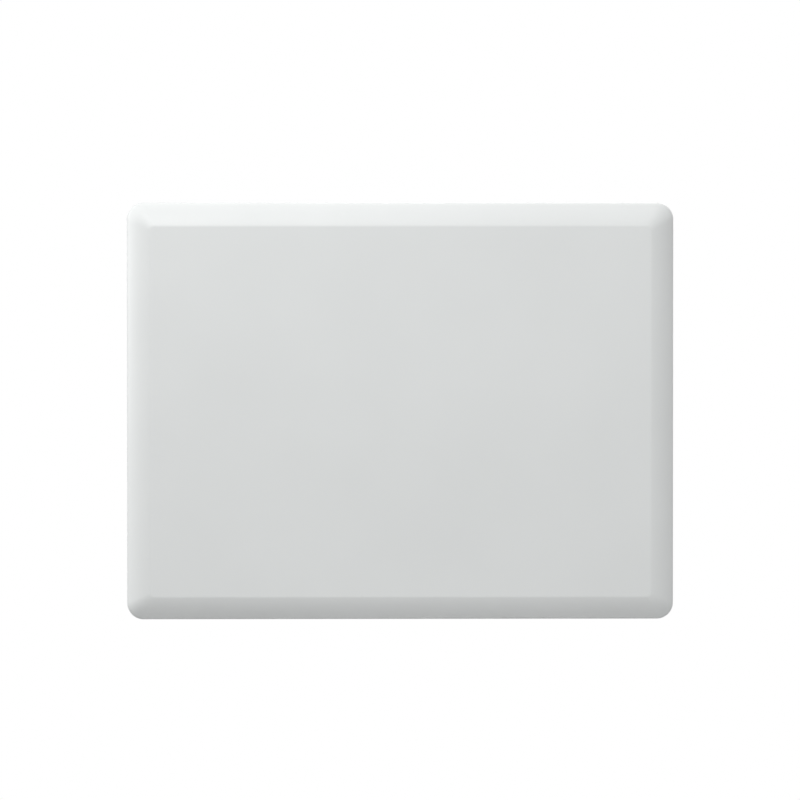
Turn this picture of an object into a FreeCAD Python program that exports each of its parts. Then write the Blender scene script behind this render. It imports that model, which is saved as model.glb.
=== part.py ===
"""Overhead security gate: a radio reader panel that hangs on a wall or ceiling bracket.

Frame: X to the right, Z up, the room lies towards -Y. The origin is the centre of the bracket's
fixing face, so the wall is the plane y = 0. Places along Y are written as depths in front of the
wall, so a depth of 10 is y = -10. All sizes are in millimetres.
"""
import FreeCAD
import Part
import math
import os

V = FreeCAD.Vector

# ---------------------------------------------------------------- driving sizes
cover_width = 500.0
cover_height = 381.0
cover_rim_depth = 12.0           # rear rim of the cover
cover_length = 72.0              # rear rim to front face
cover_wall = 3.0
cover_corner_radius = 15.0      # seen from the front, at the side walls
crease_corner_radius = 4.0       # the same corner where the edge band meets the face
crease_radius = 10.0             # edge band: soft crease, long shoulder, tight outer edge
crease_angle = 18.0
shoulder_radius = 35.0
shoulder_angle = 50.0
edge_radius = 8.5

chassis_gap = 1.5                # chassis to the inside of the cover
chassis_recess = 3.0             # chassis behind the cover's rear rim
chassis_sheet = 2.0
chassis_flange = 12.0

bracket_width = 300.0
bracket_bottom = -160.0
bracket_sheet = 2.5
bracket_flange = 8.0
window_width = 170.0
window_height = 110.0
window_centre_z = 5.0
cable_hole_half_width = 18.0
cable_hole_half_height = 14.0
cable_hole_x = 30.0
cable_hole_rows = (105.0, -90.0)
wall_hole_radius = 3.25
wall_hole_spacing_x = 250.0
wall_hole_spacing_z = 280.0
arm_hole_radius = 3.3            # square pattern for a pole or arm mount
arm_hole_spacing = 200.0

hinge_depth = 9.0                # hinge axis in front of the wall
hinge_drop = 9.5                 # hinge axis below the cover's top
hinge_lug_x = 127.0
hinge_lug_radius = 5.5
hinge_side_gap = 1.5             # lug to bracket ear
ear_height = 36.0
pin_radius = 2.5
pin_head_radius = 4.5
pin_head_length = 2.0
pin_groove_depth = 0.5
pin_clip_thickness = 0.8
pin_tail = 5.0                   # pin that stands out past the lug
lug_drop = 10.0                  # lug's foot below the hinge axis
lug_foot_width = 17.0
lug_foot_height = 22.0
rivet_radius = 1.6
rivet_head_radius = 3.2
rivet_head_length = 1.2
rivet_edge = 5.0                 # rivet from the edge of what it holds

running_gap = 0.05               # radial, pin in its lug and screw in its hole
fit_gap = 0.3                    # between separate pieces that only sit beside each other

bay_half_width = 80.0
bay_bottom = -30.0
bay_top = 40.0
bay_depth_past_board = 8.0       # bay floor in front of the reader board's rear face
bay_wall = 2.0
bay_flange = 6.0

board_thickness = 1.6
reader_half_width = 110.0
reader_bottom = 44.0
reader_top = 168.0
reader_depth = 33.0              # rear face of the reader board
board_pillar_radius = 3.0
board_hole_inset = 6.0
screw_radius = 1.5
screw_hole_radius = 1.7          # loose holes in boards and sheets
screw_head_radius = 2.8
screw_head_length = 2.0
pillar_screw_length = 7.5
short_screw_length = 4.5
speaker_flange = 2.5             # also the bay's lips, held by the same screws
pillar_spigot_radius = 2.0

reflector_margin_x = 18.0        # reflector edge inside the cover's side
reflector_margin_z = 11.5        # reflector edge below the cover's top
reflector_space = 15.4           # reader board to reflector
reflector_sheet = 1.5
reflector_pillar_radius = 3.5
feed_half_width = 212.0
feed_half_height = 125.0

patch_size = 136.0
patch_sheet = 1.0
patch_gap = 14.0
patch_space_x = 20.0             # between neighbours
patch_space_z = 36.0
patch_cut = 22.0                 # the two cut corners that turn the wave
patch_post_radius = 4.0
patch_rest_radius = 2.5
patch_rest_offset = 56.0
feed_pin_offset = 38.0
feed_pin_radius = 0.65
feed_pin_clear_radius = 2.5      # hole round each pin in the reflector

boss_radius = 4.0
boss_inset_x = 12.0              # boss axis inside the cover's outer side
boss_pitch_z = 130.0
boss_screw_length = 16.0

speaker_x = 165.0
speaker_z = -95.0
speaker_radius = 35.0

# ---------------------------------------------------------------- sizes worked out
half_width = cover_width / 2
half_height = cover_height / 2
face_depth = cover_rim_depth + cover_length
chassis_rear = cover_rim_depth + chassis_recess
chassis_inner = chassis_rear + chassis_sheet
chassis_half_width = half_width - cover_wall - chassis_gap
chassis_half_height = half_height - cover_wall - chassis_gap
chassis_corner = cover_corner_radius - cover_wall - chassis_gap
hinge_z = half_height - hinge_drop
ear_x = hinge_lug_x + bracket_sheet + hinge_side_gap
reader_front = reader_depth + board_thickness
reflector_half_width = half_width - reflector_margin_x
reflector_half_height = half_height - reflector_margin_z
reflector_depth = reader_front + reflector_space
reflector_front = reflector_depth + reflector_sheet
feed_rear = reflector_depth - board_thickness
patch_rear = reflector_front + patch_gap
patch_front = patch_rear + patch_sheet
patch_pitch_x = patch_size + patch_space_x
patch_pitch_z = patch_size + patch_space_z
bay_floor = reader_depth + bay_depth_past_board
boss_x = half_width - boss_inset_x

made = {}


# ---------------------------------------------------------------- shape helpers
def keep(name, *solids):
    """Files one or more separate solids under a node name."""
    made[name] = list(solids)


def at(x, depth, z):
    return V(x, -depth, z)


def box(x0, x1, d0, d1, z0, z1):
    """A block between two values of x, two depths and two heights."""
    return Part.makeBox(x1 - x0, d1 - d0, z1 - z0, V(x0, -d1, z0))


def rod(x, z, radius, d0, d1):
    """A cylinder that points into the room, from depth d0 to depth d1."""
    return Part.makeCylinder(radius, d1 - d0, V(x, -d0, z), V(0, -1, 0))


def rod_x(x0, x1, depth, z, radius):
    return Part.makeCylinder(radius, x1 - x0, V(x0, -depth, z), V(1, 0, 0))


def rod_z(x, depth, z0, z1, radius):
    return Part.makeCylinder(radius, z1 - z0, V(x, -depth, z0), V(0, 0, 1))


def hex_rod(x, z, across_flats, d0, d1):
    """A hexagon bar that points into the room."""
    reach = across_flats / math.sqrt(3)
    corners = [V(x + reach * math.cos(math.radians(a)), -d0, z + reach * math.sin(math.radians(a)))
               for a in range(0, 420, 60)]
    return Part.Face(Part.makePolygon(corners)).extrude(V(0, d0 - d1, 0))


def rounded_wire(half_w, half_h, radius, depth, x=0.0, z=0.0):
    """A rounded rectangle that faces the room."""
    edges = []
    lean = radius * (1 - math.sqrt(0.5))
    for sx, sz in ((1, 1), (-1, 1), (-1, -1), (1, -1)):
        corner_x, corner_z = x + sx * half_w, z + sz * half_h
        on_side = V(corner_x, -depth, corner_z - sz * radius)
        on_end = V(corner_x - sx * radius, -depth, corner_z)
        middle = V(corner_x - sx * lean, -depth, corner_z - sz * lean)
        first, last = (on_side, on_end) if sx * sz > 0 else (on_end, on_side)
        if edges:
            edges.append(Part.LineSegment(edges[-1].Vertexes[-1].Point, first).toShape())
        edges.append(Part.Arc(first, middle, last).toShape())
    edges.append(Part.LineSegment(edges[-1].Vertexes[-1].Point, edges[0].Vertexes[0].Point).toShape())
    return Part.Wire(edges)


def rounded_slab(half_w, half_h, radius, d0, d1, x=0.0, z=0.0):
    return Part.Face(rounded_wire(half_w, half_h, radius, d0, x, z)).extrude(V(0, d0 - d1, 0))


def slot(x, z, length, width, d0, d1):
    """A round-ended slot along X."""
    return rounded_slab(length / 2, width / 2, width / 2 - 0.01, d0, d1, x, z)


def fuse(first, *others):
    return first.multiFuse(list(others)).removeSplitter()


def cut(first, *others):
    return first.cut(Part.makeCompound(list(others)))


def mirrored(shape):
    """The same piece on the other side of the centre plane."""
    return shape.mirror(V(0, 0, 0), V(1, 0, 0))


def screw(x, z, under_head, length, way=1):
    """A pan-head screw. way 1 drives it towards the wall, and -1 towards the room."""
    if way > 0:
        head = rod(x, z, screw_head_radius, under_head, under_head + screw_head_length)
        shank = rod(x, z, screw_radius, under_head - length, under_head)
    else:
        head = rod(x, z, screw_head_radius, under_head - screw_head_length, under_head)
        shank = rod(x, z, screw_radius, under_head, under_head + length)
    return fuse(head, shank)


def tube_along(points, radius):
    """A lead along straight runs joined by tangent arcs, each as large as its two runs allow."""
    edges = []
    start = points[0]
    for before, corner, after in zip(points, points[1:], points[2:]):
        run_in, run_out = corner - before, after - corner
        turn = run_in.getAngle(run_out)
        reach = 0.45 * min(run_in.Length, run_out.Length)
        arc_start = corner - V(run_in).normalize() * reach
        arc_end = corner + V(run_out).normalize() * reach
        bend = reach / math.tan(turn / 2)
        towards_centre = V(run_out).normalize() - V(run_in).normalize()
        centre_way = V(corner) + towards_centre.normalize() * (bend / math.cos(turn / 2))
        middle = centre_way + (corner - centre_way).normalize() * bend
        edges.append(Part.LineSegment(start, arc_start).toShape())
        edges.append(Part.Arc(arc_start, middle, arc_end).toShape())
        print("  bend radius %.1f mm = %.1f diameters" % (bend, bend / radius / 2))
        start = arc_end
    edges.append(Part.LineSegment(start, points[-1]).toShape())
    path = Part.Wire(edges)
    section = Part.Wire([Part.Circle(points[0], points[1] - points[0], radius).toShape()])
    solid = path.makePipeShell([section], True, False, 1)
    expected = math.pi * radius ** 2 * path.Length
    print("  lead of %.0f mm, volume over expected %.4f" % (path.Length, solid.Volume / expected))
    return solid


def bent_strip(points, thickness, x0, x1):
    """A strip of sheet bent along (depth, z) points; its thickness lies on the left of the path."""
    way = []
    for (d0, z0), (d1, z1) in zip(points, points[1:]):
        length = math.hypot(d1 - d0, z1 - z0)
        way.append(((d1 - d0) / length, (z1 - z0) / length))
    far = []
    for i, (depth, z) in enumerate(points):
        before, after = way[max(i - 1, 0)], way[min(i, len(way) - 1)]
        nd, nz = -(before[1] + after[1]) / 2, (before[0] + after[0]) / 2
        scale = thickness / (nd * nd + nz * nz)
        far.append((depth + nd * scale, z + nz * scale))
    outline = [V(x0, -d, z) for d, z in points + far[::-1] + points[:1]]
    return Part.Face(Part.makePolygon(outline)).extrude(V(x1 - x0, 0, 0))


# ---------------------------------------------------------------- cover
def band_point(angle, offset):
    """Inset from the side plane and depth of the edge band's skin where it leans by angle."""
    a1, a2 = math.radians(crease_angle), math.radians(shoulder_angle)
    band_width = (edge_radius + (shoulder_radius - edge_radius) * math.sin(a2)
                  - (shoulder_radius - crease_radius) * math.sin(a1))
    inset, depth, radius = band_width, face_depth - crease_radius, crease_radius
    if angle > crease_angle:
        inset += (shoulder_radius - radius) * math.sin(a1)
        depth -= (shoulder_radius - radius) * math.cos(a1)
        radius = shoulder_radius
    if angle > shoulder_angle:
        inset -= (radius - edge_radius) * math.sin(a2)
        depth += (radius - edge_radius) * math.cos(a2)
        radius = edge_radius
    a = math.radians(angle)
    return (inset - (radius - offset) * math.sin(a), depth + (radius - offset) * math.cos(a), band_width)


def pillow(offset, rear_depth):
    """The cover's outer form, or its hollow when offset is the wall."""
    steps = 3
    angles = [90 - (90 - shoulder_angle) * i / steps for i in range(steps)]
    angles += [shoulder_angle - (shoulder_angle - crease_angle) * i / steps for i in range(steps)]
    angles += [crease_angle - crease_angle * i / steps for i in range(steps + 1)]
    wires = []
    for angle in angles:
        inset, depth, band_width = band_point(angle, offset)
        share = max(0.0, inset - offset) / (band_width - offset)
        radius = cover_corner_radius - (cover_corner_radius - crease_corner_radius) * share - offset
        wires.append(rounded_wire(half_width - inset, half_height - inset, radius, depth))
    shoulder = Part.makeLoft(wires, True, False)
    walls = rounded_slab(half_width - offset, half_height - offset, cover_corner_radius - offset,
                         rear_depth, band_point(90, offset)[1])
    return fuse(walls, shoulder)


def boss_places():
    return [(sx * boss_x, z) for sx in (-1, 1) for z in (-boss_pitch_z, 0.0, boss_pitch_z)]


def front_cover():
    outer = pillow(0.0, cover_rim_depth)
    shell = cut(outer, pillow(cover_wall, cover_rim_depth - 1))
    rib_start = chassis_inner + chassis_flange + fit_gap
    columns = []
    for x, z in boss_places():
        side = math.copysign(1, x)
        rib_x = sorted((x, side * (half_width - cover_wall / 2)))
        rib = box(rib_x[0], rib_x[1], rib_start, face_depth - cover_wall / 2, z - 1, z + 1)
        columns.append(rod(x, z, boss_radius, chassis_inner, face_depth - cover_wall / 2).fuse(rib))
    columns = [c.common(outer) for c in columns]
    body = fuse(shell, *columns)
    holes = [rod(x, z, screw_radius + running_gap, chassis_inner - 1, chassis_inner + boss_screw_length + 1)
             for x, z in boss_places()]
    keep("front_cover", cut(body, *holes))


def cover_gasket():
    ring_from, ring_to = chassis_inner + 3, chassis_inner + 9
    reach = chassis_gap - fit_gap
    outer = rounded_slab(chassis_half_width + reach, chassis_half_height + reach, chassis_corner + reach,
                         ring_from, ring_to)
    inner = rounded_slab(chassis_half_width, chassis_half_height, chassis_corner, ring_from - 1, ring_to + 1)
    keep("cover_gasket", cut(outer, inner))


def cover_screws():
    length = chassis_sheet + boss_screw_length
    keep("cover_screws", *[screw(x, z, chassis_rear, length, -1) for x, z in boss_places()])


# ---------------------------------------------------------------- chassis
spring_x = 100.0
spring_slot_top = -144.0
spring_slot_height = 10.0
spring_width = 12.0
vent_x = 200.0
vent_length = 46.0
vent_height = 3.0
vent_pitch = 8.0
vent_count = 9
right_vent_bottom = 30.0
left_vent_bottom = -130.0
speaker_slot_pitch = 7.0
speaker_grille_radius = 26.0
earth_x, earth_z = -108.0, 22.0
stud_radius = 2.0
stud_length = 9.0
nut_thickness = 3.2
washer_thickness = 0.8
plate_x, plate_z = 198.0, 142.0  # rating plate
plate_half_width, plate_half_height = 32.0, 20.0
plate_thickness = 0.4


def board_pillar_places():
    x = reader_half_width - board_hole_inset
    rows = (reader_bottom + board_hole_inset, reader_top - board_hole_inset)
    return [(sx * x, z) for sx in (-1, 1) for z in rows]


def reflector_pillar_places():
    x = reflector_half_width - 7
    z = reflector_half_height - 6
    corners = [(sx * x, sz * (z - 5)) for sx in (-1, 1) for sz in (-1, 1)]
    return corners + [(-x, 0.0), (x, 0.0), (0.0, z), (0.0, -z)]


def power_pillar_places():
    return [(x, z) for x in (-213.0, -127.0) for z in (-15.0, 115.0)]


def hinge_lugs():
    """Angle pieces riveted behind the chassis, which reach back to the hinge axis."""
    foot_rear, foot_top = chassis_rear - bracket_sheet, hinge_z - lug_drop
    x0, x1 = hinge_lug_x, hinge_lug_x + bracket_sheet
    web = box(x0, x1, hinge_depth, chassis_rear, foot_top - lug_foot_height, hinge_z + hinge_lug_radius - 1)
    eye = rod_x(x0, x1, hinge_depth, hinge_z, hinge_lug_radius)
    foot = box(x1 - lug_foot_width, x1, foot_rear, chassis_rear, foot_top - lug_foot_height, foot_top)
    hole = rod_x(x0 - 1, x1 + 1, hinge_depth, hinge_z, pin_radius + running_gap)
    angle = cut(fuse(web, eye, foot), hole)
    pieces = [angle]
    for x, z in lug_rivet_places():
        pieces[0] = cut(pieces[0], rod(x, z, rivet_radius, foot_rear - 1, chassis_rear + 1))
        pieces.append(fuse(rod(x, z, rivet_radius, foot_rear, chassis_inner),
                           rod(x, z, rivet_head_radius, foot_rear - rivet_head_length, foot_rear),
                           rod(x, z, rivet_head_radius, chassis_inner, chassis_inner + rivet_head_length)))
    keep("hinge_lugs", *pieces, *[mirrored(piece) for piece in pieces])


def lug_rivet_places():
    """Two rivets in the lug's foot, on the positive side."""
    x = hinge_lug_x + bracket_sheet - lug_foot_width + rivet_edge
    top = hinge_z - lug_drop - rivet_edge
    return [(x, top), (x, top - lug_foot_height + 2 * rivet_edge)]


def chassis():
    outer = rounded_slab(chassis_half_width, chassis_half_height, chassis_corner,
                         chassis_rear, chassis_inner + chassis_flange)
    inner = rounded_slab(chassis_half_width - chassis_sheet, chassis_half_height - chassis_sheet,
                         chassis_corner - chassis_sheet, chassis_inner, chassis_inner + chassis_flange + 1)
    tray = cut(outer, inner)
    d0, d1 = chassis_rear - 1, chassis_inner + 1
    holes = [box(-bay_half_width - bay_wall - fit_gap, bay_half_width + bay_wall + fit_gap, d0, d1,
                 bay_bottom - bay_wall - fit_gap, bay_top + bay_wall + fit_gap)]
    holes += [rod(x, z, screw_radius + running_gap, d0, d1) for x, z in boss_places() + bay_screw_places()]
    holes += [rod(x, z, screw_radius + running_gap, d0, d1) for x, z in speaker_screw_places()]
    holes += [rod(x, z, pillar_spigot_radius, d0, d1)
              for x, z in board_pillar_places() + reflector_pillar_places() + power_pillar_places()]
    holes += [box(sx * spring_x - spring_width / 2 - 2, sx * spring_x + spring_width / 2 + 2, d0, d1,
                  spring_slot_top - spring_slot_height, spring_slot_top) for sx in (-1, 1)]
    holes += [rod(sx * x, z, rivet_radius, d0, d1) for sx in (-1, 1) for x, z in lug_rivet_places()]
    for row in range(vent_count):
        rise = row * vent_pitch
        holes.append(slot(vent_x, right_vent_bottom + rise, vent_length, vent_height, d0, d1))
        holes.append(slot(-vent_x, left_vent_bottom + rise, vent_length, vent_height, d0, d1))
    for row in range(-3, 4):
        height = row * speaker_slot_pitch
        width = 2 * math.sqrt(speaker_grille_radius ** 2 - height ** 2)
        holes.append(slot(speaker_x, speaker_z + height, width, vent_height, d0, d1))
    holes.append(rod(earth_x, earth_z, stud_radius, d0, d1))
    keep("chassis", cut(tray, *holes))


def earth_stud():
    """A clinched stud behind the chassis, with its washer and nut."""
    nut_front = chassis_rear - washer_thickness
    nut_rear = nut_front - nut_thickness
    stud = fuse(rod(earth_x, earth_z, stud_radius, chassis_rear - stud_length, chassis_inner),
                rod(earth_x, earth_z, 1.75 * stud_radius, chassis_inner, chassis_inner + 1))
    bore = rod(earth_x, earth_z, stud_radius + running_gap, nut_rear - 1, chassis_rear + 1)
    washer = cut(rod(earth_x, earth_z, 2.25 * stud_radius, nut_front, chassis_rear), bore)
    nut = cut(hex_rod(earth_x, earth_z, 3.5 * stud_radius, nut_rear, nut_front), bore)
    keep("earth_stud", stud, washer, nut)


def rating_plate():
    keep("rating_plate", rounded_slab(plate_half_width, plate_half_height, 2, chassis_rear - plate_thickness,
                                      chassis_rear, plate_x, plate_z))


# ---------------------------------------------------------------- bracket and hinge
def bracket_ear(x0):
    """A gusset from the bracket plate to the hinge axis, low at the wall so the cover can swing over it."""
    lean = math.acos(hinge_lug_radius / hinge_depth)
    touch = (hinge_depth - hinge_lug_radius * math.cos(lean), hinge_z + hinge_lug_radius * math.sin(lean))
    outline = [(0.0, hinge_z), touch, (hinge_depth, hinge_z), (hinge_depth + hinge_lug_radius, hinge_z),
               (bracket_sheet, hinge_z - ear_height), (0.0, hinge_z - ear_height), (0.0, hinge_z)]
    web = Part.Face(Part.makePolygon([V(x0, -d, z) for d, z in outline])).extrude(V(bracket_sheet, 0, 0))
    eye = rod_x(x0, x0 + bracket_sheet, hinge_depth, hinge_z, hinge_lug_radius)
    hole = rod_x(x0 - 1, x0 + bracket_sheet + 1, hinge_depth, hinge_z, pin_radius)
    return cut(web.fuse(eye), hole)


def bracket():
    half = bracket_width / 2
    top = hinge_z - 3
    middle, half_tall = (top + bracket_bottom) / 2, (top - bracket_bottom) / 2
    plate = rounded_slab(half, half_tall, 6, 0, bracket_sheet, 0, middle)
    flange = box(half - bracket_sheet, half, 0, bracket_flange, bracket_bottom + 12, hinge_z - 50)
    ear = bracket_ear(ear_x)
    body = fuse(plate, flange, mirrored(flange), ear, mirrored(ear))
    d0, d1 = -1, bracket_sheet + 1
    holes = [rounded_slab(window_width / 2, window_height / 2, 8, d0, d1, 0, window_centre_z)]
    for sx in (-1, 1):
        for sz in (-1, 1):
            wall_x, wall_z, arm = wall_hole_spacing_x / 2, wall_hole_spacing_z / 2, arm_hole_spacing / 2
            holes.append(rod(sx * wall_x, sz * wall_z, wall_hole_radius, d0, d1))
            holes.append(rod(sx * arm, sz * arm, arm_hole_radius, d0, d1))
        holes.append(rod(sx * spring_x, spring_foot_z, rivet_radius, d0, d1))
        holes.append(rod(sx * buffer_x, buffer_z, buffer_stem_radius, d0, d1))
        for z in cable_hole_rows:
            holes.append(rounded_slab(cable_hole_half_width, cable_hole_half_height, 6, d0, d1,
                                      sx * cable_hole_x, z))
    keep("bracket", cut(body, *holes))


def hinge_pins():
    tail = hinge_lug_x - pin_tail
    groove_x = hinge_lug_x - fit_gap - pin_clip_thickness
    shank = rod_x(tail, ear_x + bracket_sheet, hinge_depth, hinge_z, pin_radius)
    head = rod_x(ear_x + bracket_sheet, ear_x + bracket_sheet + pin_head_length, hinge_depth, hinge_z,
                 pin_head_radius)
    ring = cut(rod_x(groove_x, groove_x + pin_clip_thickness, hinge_depth, hinge_z, pin_radius + 1),
               rod_x(groove_x - 1, groove_x + 2, hinge_depth, hinge_z, pin_radius - pin_groove_depth))
    pin = cut(fuse(shank, head), ring)
    keep("hinge_pins", pin, mirrored(pin))


def pin_clips():
    """Open retaining rings in the pins' grooves."""
    x0 = hinge_lug_x - fit_gap - pin_clip_thickness
    x1 = x0 + pin_clip_thickness
    mouth = box(x0 - 1, x1 + 1, hinge_depth, hinge_depth + 9, hinge_z - 1.6, hinge_z + 1.6)
    ring = cut(rod_x(x0, x1, hinge_depth, hinge_z, pin_radius + 2),
               rod_x(x0 - 1, x1 + 1, hinge_depth, hinge_z, pin_radius - pin_groove_depth), mouth)
    keep("pin_clips", ring, mirrored(ring))


spring_thickness = 0.8
spring_foot_z = -122.0


def retaining_springs():
    """Leaf springs whose noses pass through the chassis slots and hold the panel shut."""
    slot_bottom = spring_slot_top - spring_slot_height
    leg_z = spring_slot_top - 3.5
    path = [(bracket_sheet, spring_foot_z + 10), (bracket_sheet, leg_z), (chassis_inner + 0.6, leg_z),
            (chassis_inner + 4.0, slot_bottom - 2.0), (chassis_inner + 9.5, leg_z + 1.5)]
    springs = []
    for sx in (-1, 1):
        x0 = sx * spring_x - spring_width / 2
        leaf = bent_strip(path, spring_thickness, x0, x0 + spring_width)
        hole = rod(sx * spring_x, spring_foot_z, rivet_radius, 0, bracket_sheet + 3)
        springs.append(cut(leaf, hole))
    keep("retaining_springs", *springs)


def spring_rivets():
    rivets = []
    for sx in (-1, 1):
        x, front = sx * spring_x, bracket_sheet + spring_thickness
        rivets.append(fuse(rod(x, spring_foot_z, rivet_radius, 0.4, front),
                           rod(x, spring_foot_z, rivet_head_radius, front, front + rivet_head_length)))
    keep("spring_rivets", *rivets)


buffer_x = 60.0
buffer_z = -148.0
buffer_radius = 8.0
buffer_stem_radius = 2.5


def rubber_buffers():
    buffers = []
    for sx in (-1, 1):
        stem = rod(sx * buffer_x, buffer_z, buffer_stem_radius, 0.5, bracket_sheet)
        pad = rod(sx * buffer_x, buffer_z, buffer_radius, bracket_sheet, chassis_rear)
        buffers.append(fuse(stem, pad))
    keep("rubber_buffers", *buffers)


# ---------------------------------------------------------------- connector bay
socket_width = 16.0
socket_height = 13.5
socket_length = 21.0
socket_mouth_width = 12.0
socket_mouth_height = 8.4
socket_mouth_length = 14.0
socket_places = {"network_socket_in": -52.0, "network_socket_out": -28.0}
terminal_x = 14.0
terminal_ways = 8
terminal_pitch = 3.81
terminal_header_height = 8.6
terminal_header_length = 12.0
terminal_wall = 1.2
terminal_plug_height = 12.0
terminal_plug_length = 14.0
clamp_radius = 1.5
reset_x = 52.0
reset_rear = reader_depth - 3.6
reset_radius = 1.6
reset_travel = 0.5
light_x = 66.0
light_radius = 1.5
connector_z = bay_top + 0.3      # mouths of the connectors, inside the bay's wall


def terminal_half_width():
    return terminal_ways * terminal_pitch / 2 + terminal_wall + 0.6


def bay_screw_places():
    x, z0, z1 = bay_half_width + bay_wall + 3, bay_bottom + 6, bay_top - 6
    return [(sx * x, z) for sx in (-1, 1) for z in (z0, z1)]


def connector_bay():
    walls = box(-bay_half_width - bay_wall, bay_half_width + bay_wall, chassis_rear, bay_floor,
                bay_bottom - bay_wall, bay_top + bay_wall)
    hollow = box(-bay_half_width, bay_half_width, chassis_rear - 1, bay_floor - bay_wall, bay_bottom, bay_top)
    side = bay_half_width + bay_wall
    lips = [box(min(s * side, s * (side + bay_flange)), max(s * side, s * (side + bay_flange)),
                chassis_inner, chassis_inner + speaker_flange, bay_bottom - bay_wall, bay_top + bay_wall)
            for s in (-1, 1)]
    z0, z1 = bay_top - 1, bay_top + bay_wall + 1
    mouths = [box(x - socket_width / 2 - fit_gap, x + socket_width / 2 + fit_gap,
                  reader_depth - socket_height - fit_gap, reader_depth + fit_gap, z0, z1)
              for x in socket_places.values()]
    half = terminal_half_width()
    mouths.append(box(terminal_x - half - fit_gap, terminal_x + half + fit_gap,
                      reader_depth - terminal_header_height - fit_gap, reader_depth + fit_gap, z0, z1))
    mouths.append(rod_z(reset_x, (reset_rear + reader_depth) / 2, z0, z1, reset_radius + 0.4))
    mouths.append(rod_z(light_x, (reset_rear + reader_depth) / 2, z0, z1, light_radius + running_gap))
    holes = [rod(x, z, screw_radius + running_gap, chassis_inner - 1, chassis_inner + speaker_flange + 1)
             for x, z in bay_screw_places()]
    keep("connector_bay", cut(fuse(walls, *lips), hollow, *mouths, *holes))


def short_screws():
    """Screws that hold the bay and the loudspeaker to the chassis, driven from inside."""
    places = bay_screw_places() + speaker_screw_places()
    under_head = chassis_inner + speaker_flange
    keep("short_screws", *[screw(x, z, under_head, short_screw_length) for x, z in places])


def network_sockets():
    for name, x in socket_places.items():
        rear = reader_depth - socket_height
        body = box(x - socket_width / 2, x + socket_width / 2, rear, reader_depth,
                   connector_z, connector_z + socket_length)
        middle = rear + 1.4 + socket_mouth_height / 2 + 1.6
        mouth = box(x - socket_mouth_width / 2, x + socket_mouth_width / 2, middle - socket_mouth_height / 2,
                    middle + socket_mouth_height / 2, connector_z - 1, connector_z + socket_mouth_length)
        latch = box(x - 3.2, x + 3.2, middle - socket_mouth_height / 2 - 1.8, middle, connector_z - 1,
                    connector_z + socket_mouth_length)
        keep(name, cut(body, mouth, latch))


def terminal_header():
    half = terminal_half_width()
    rear = reader_depth - terminal_header_height
    body = box(terminal_x - half, terminal_x + half, rear, reader_depth,
               connector_z, connector_z + terminal_header_length)
    hollow = box(terminal_x - half + terminal_wall, terminal_x + half - terminal_wall, rear + terminal_wall,
                 reader_depth - terminal_wall, connector_z - 1, connector_z + terminal_header_length - 3)
    middle = reader_depth - terminal_header_height / 2
    pin_top = connector_z + terminal_header_length - 2
    pins = [rod_z(x, middle, connector_z + 2, pin_top, 0.5) for x in terminal_pins()]
    keep("terminal_header", fuse(cut(body, hollow), *pins))


def terminal_pins():
    first = terminal_x - terminal_pitch * (terminal_ways - 1) / 2
    return [first + i * terminal_pitch for i in range(terminal_ways)]


def terminal_plug():
    gap = 0.2
    half = terminal_half_width()
    middle = reader_depth - terminal_header_height / 2
    tongue_half = terminal_header_height / 2 - terminal_wall - gap
    tongue = box(terminal_x - half + terminal_wall + gap, terminal_x + half - terminal_wall - gap,
                 middle - tongue_half, middle + tongue_half, connector_z - 0.5,
                 connector_z + terminal_header_length - 3 - fit_gap)
    rear, top = middle - terminal_plug_height / 2 - 1, connector_z - 0.5
    head = box(terminal_x - half, terminal_x + half, rear, rear + terminal_plug_height,
               top - terminal_plug_length, top)
    clamp_z = connector_z - 6
    cuts, screws = [], []
    for x in terminal_pins():
        cuts.append(rod_z(x, middle, connector_z, connector_z + terminal_header_length, 0.8))
        cuts.append(box(x - 1.3, x + 1.3, middle - 1.4, middle + 1.4,
                        top - terminal_plug_length - 1, top - terminal_plug_length + 6))
        cuts.append(rod(x, clamp_z, clamp_radius, rear - 1, rear + 3))
        driver_slot = box(x - 2, x + 2, rear, rear + 1.2, clamp_z - 0.25, clamp_z + 0.25)
        screws.append(cut(rod(x, clamp_z, clamp_radius - running_gap, rear + 0.6, rear + 3), driver_slot))
    keep("terminal_plug", cut(fuse(head, tongue), *cuts))
    keep("terminal_screws", *screws)


def reset_switch():
    middle = (reset_rear + reader_depth) / 2
    z0 = reader_bottom + 1.0
    body = box(reset_x - 3, reset_x + 3, reset_rear, reader_depth, z0, z0 + 6)
    keep("reset_switch", cut(body, rod_z(reset_x, middle, z0 - 1, z0 + 2.5, reset_radius + 0.1)))
    top = z0 + 2.5 - reset_travel - 0.2
    keep("reset_plunger", rod_z(reset_x, middle, connector_z + 0.2, top, reset_radius))


def status_light():
    middle = (reset_rear + reader_depth) / 2
    pipe = rod_z(light_x, middle, bay_top - 0.8, reader_bottom + 8, light_radius)
    foot = box(light_x - 1.5, light_x + 1.5, middle, reader_depth, reader_bottom + 3, reader_bottom + 8)
    keep("status_light_pipe", fuse(pipe, foot))


# ---------------------------------------------------------------- reader board
def pillar(x, z, radius, front):
    """A clinched pillar: spigot through the chassis, threaded at its front end."""
    body = fuse(rod(x, z, pillar_spigot_radius, chassis_rear, chassis_inner),
                rod(x, z, radius, chassis_inner, front))
    return cut(body, rod(x, z, screw_radius + running_gap, front - 8, front + 1))


def reader_board():
    board = box(-reader_half_width, reader_half_width, reader_depth, reader_front, reader_bottom, reader_top)
    d0, d1 = reader_depth - 1, reader_front + 1
    holes = [rod(x, z, screw_hole_radius, d0, d1) for x, z in board_pillar_places()]
    keep("reader_board", cut(board, *holes))


def board_pillars():
    pillars = [pillar(x, z, board_pillar_radius, reader_depth) for x, z in board_pillar_places()]
    pillars += [pillar(x, z, board_pillar_radius, power_rear) for x, z in power_pillar_places()]
    keep("board_pillars", *pillars)


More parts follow.
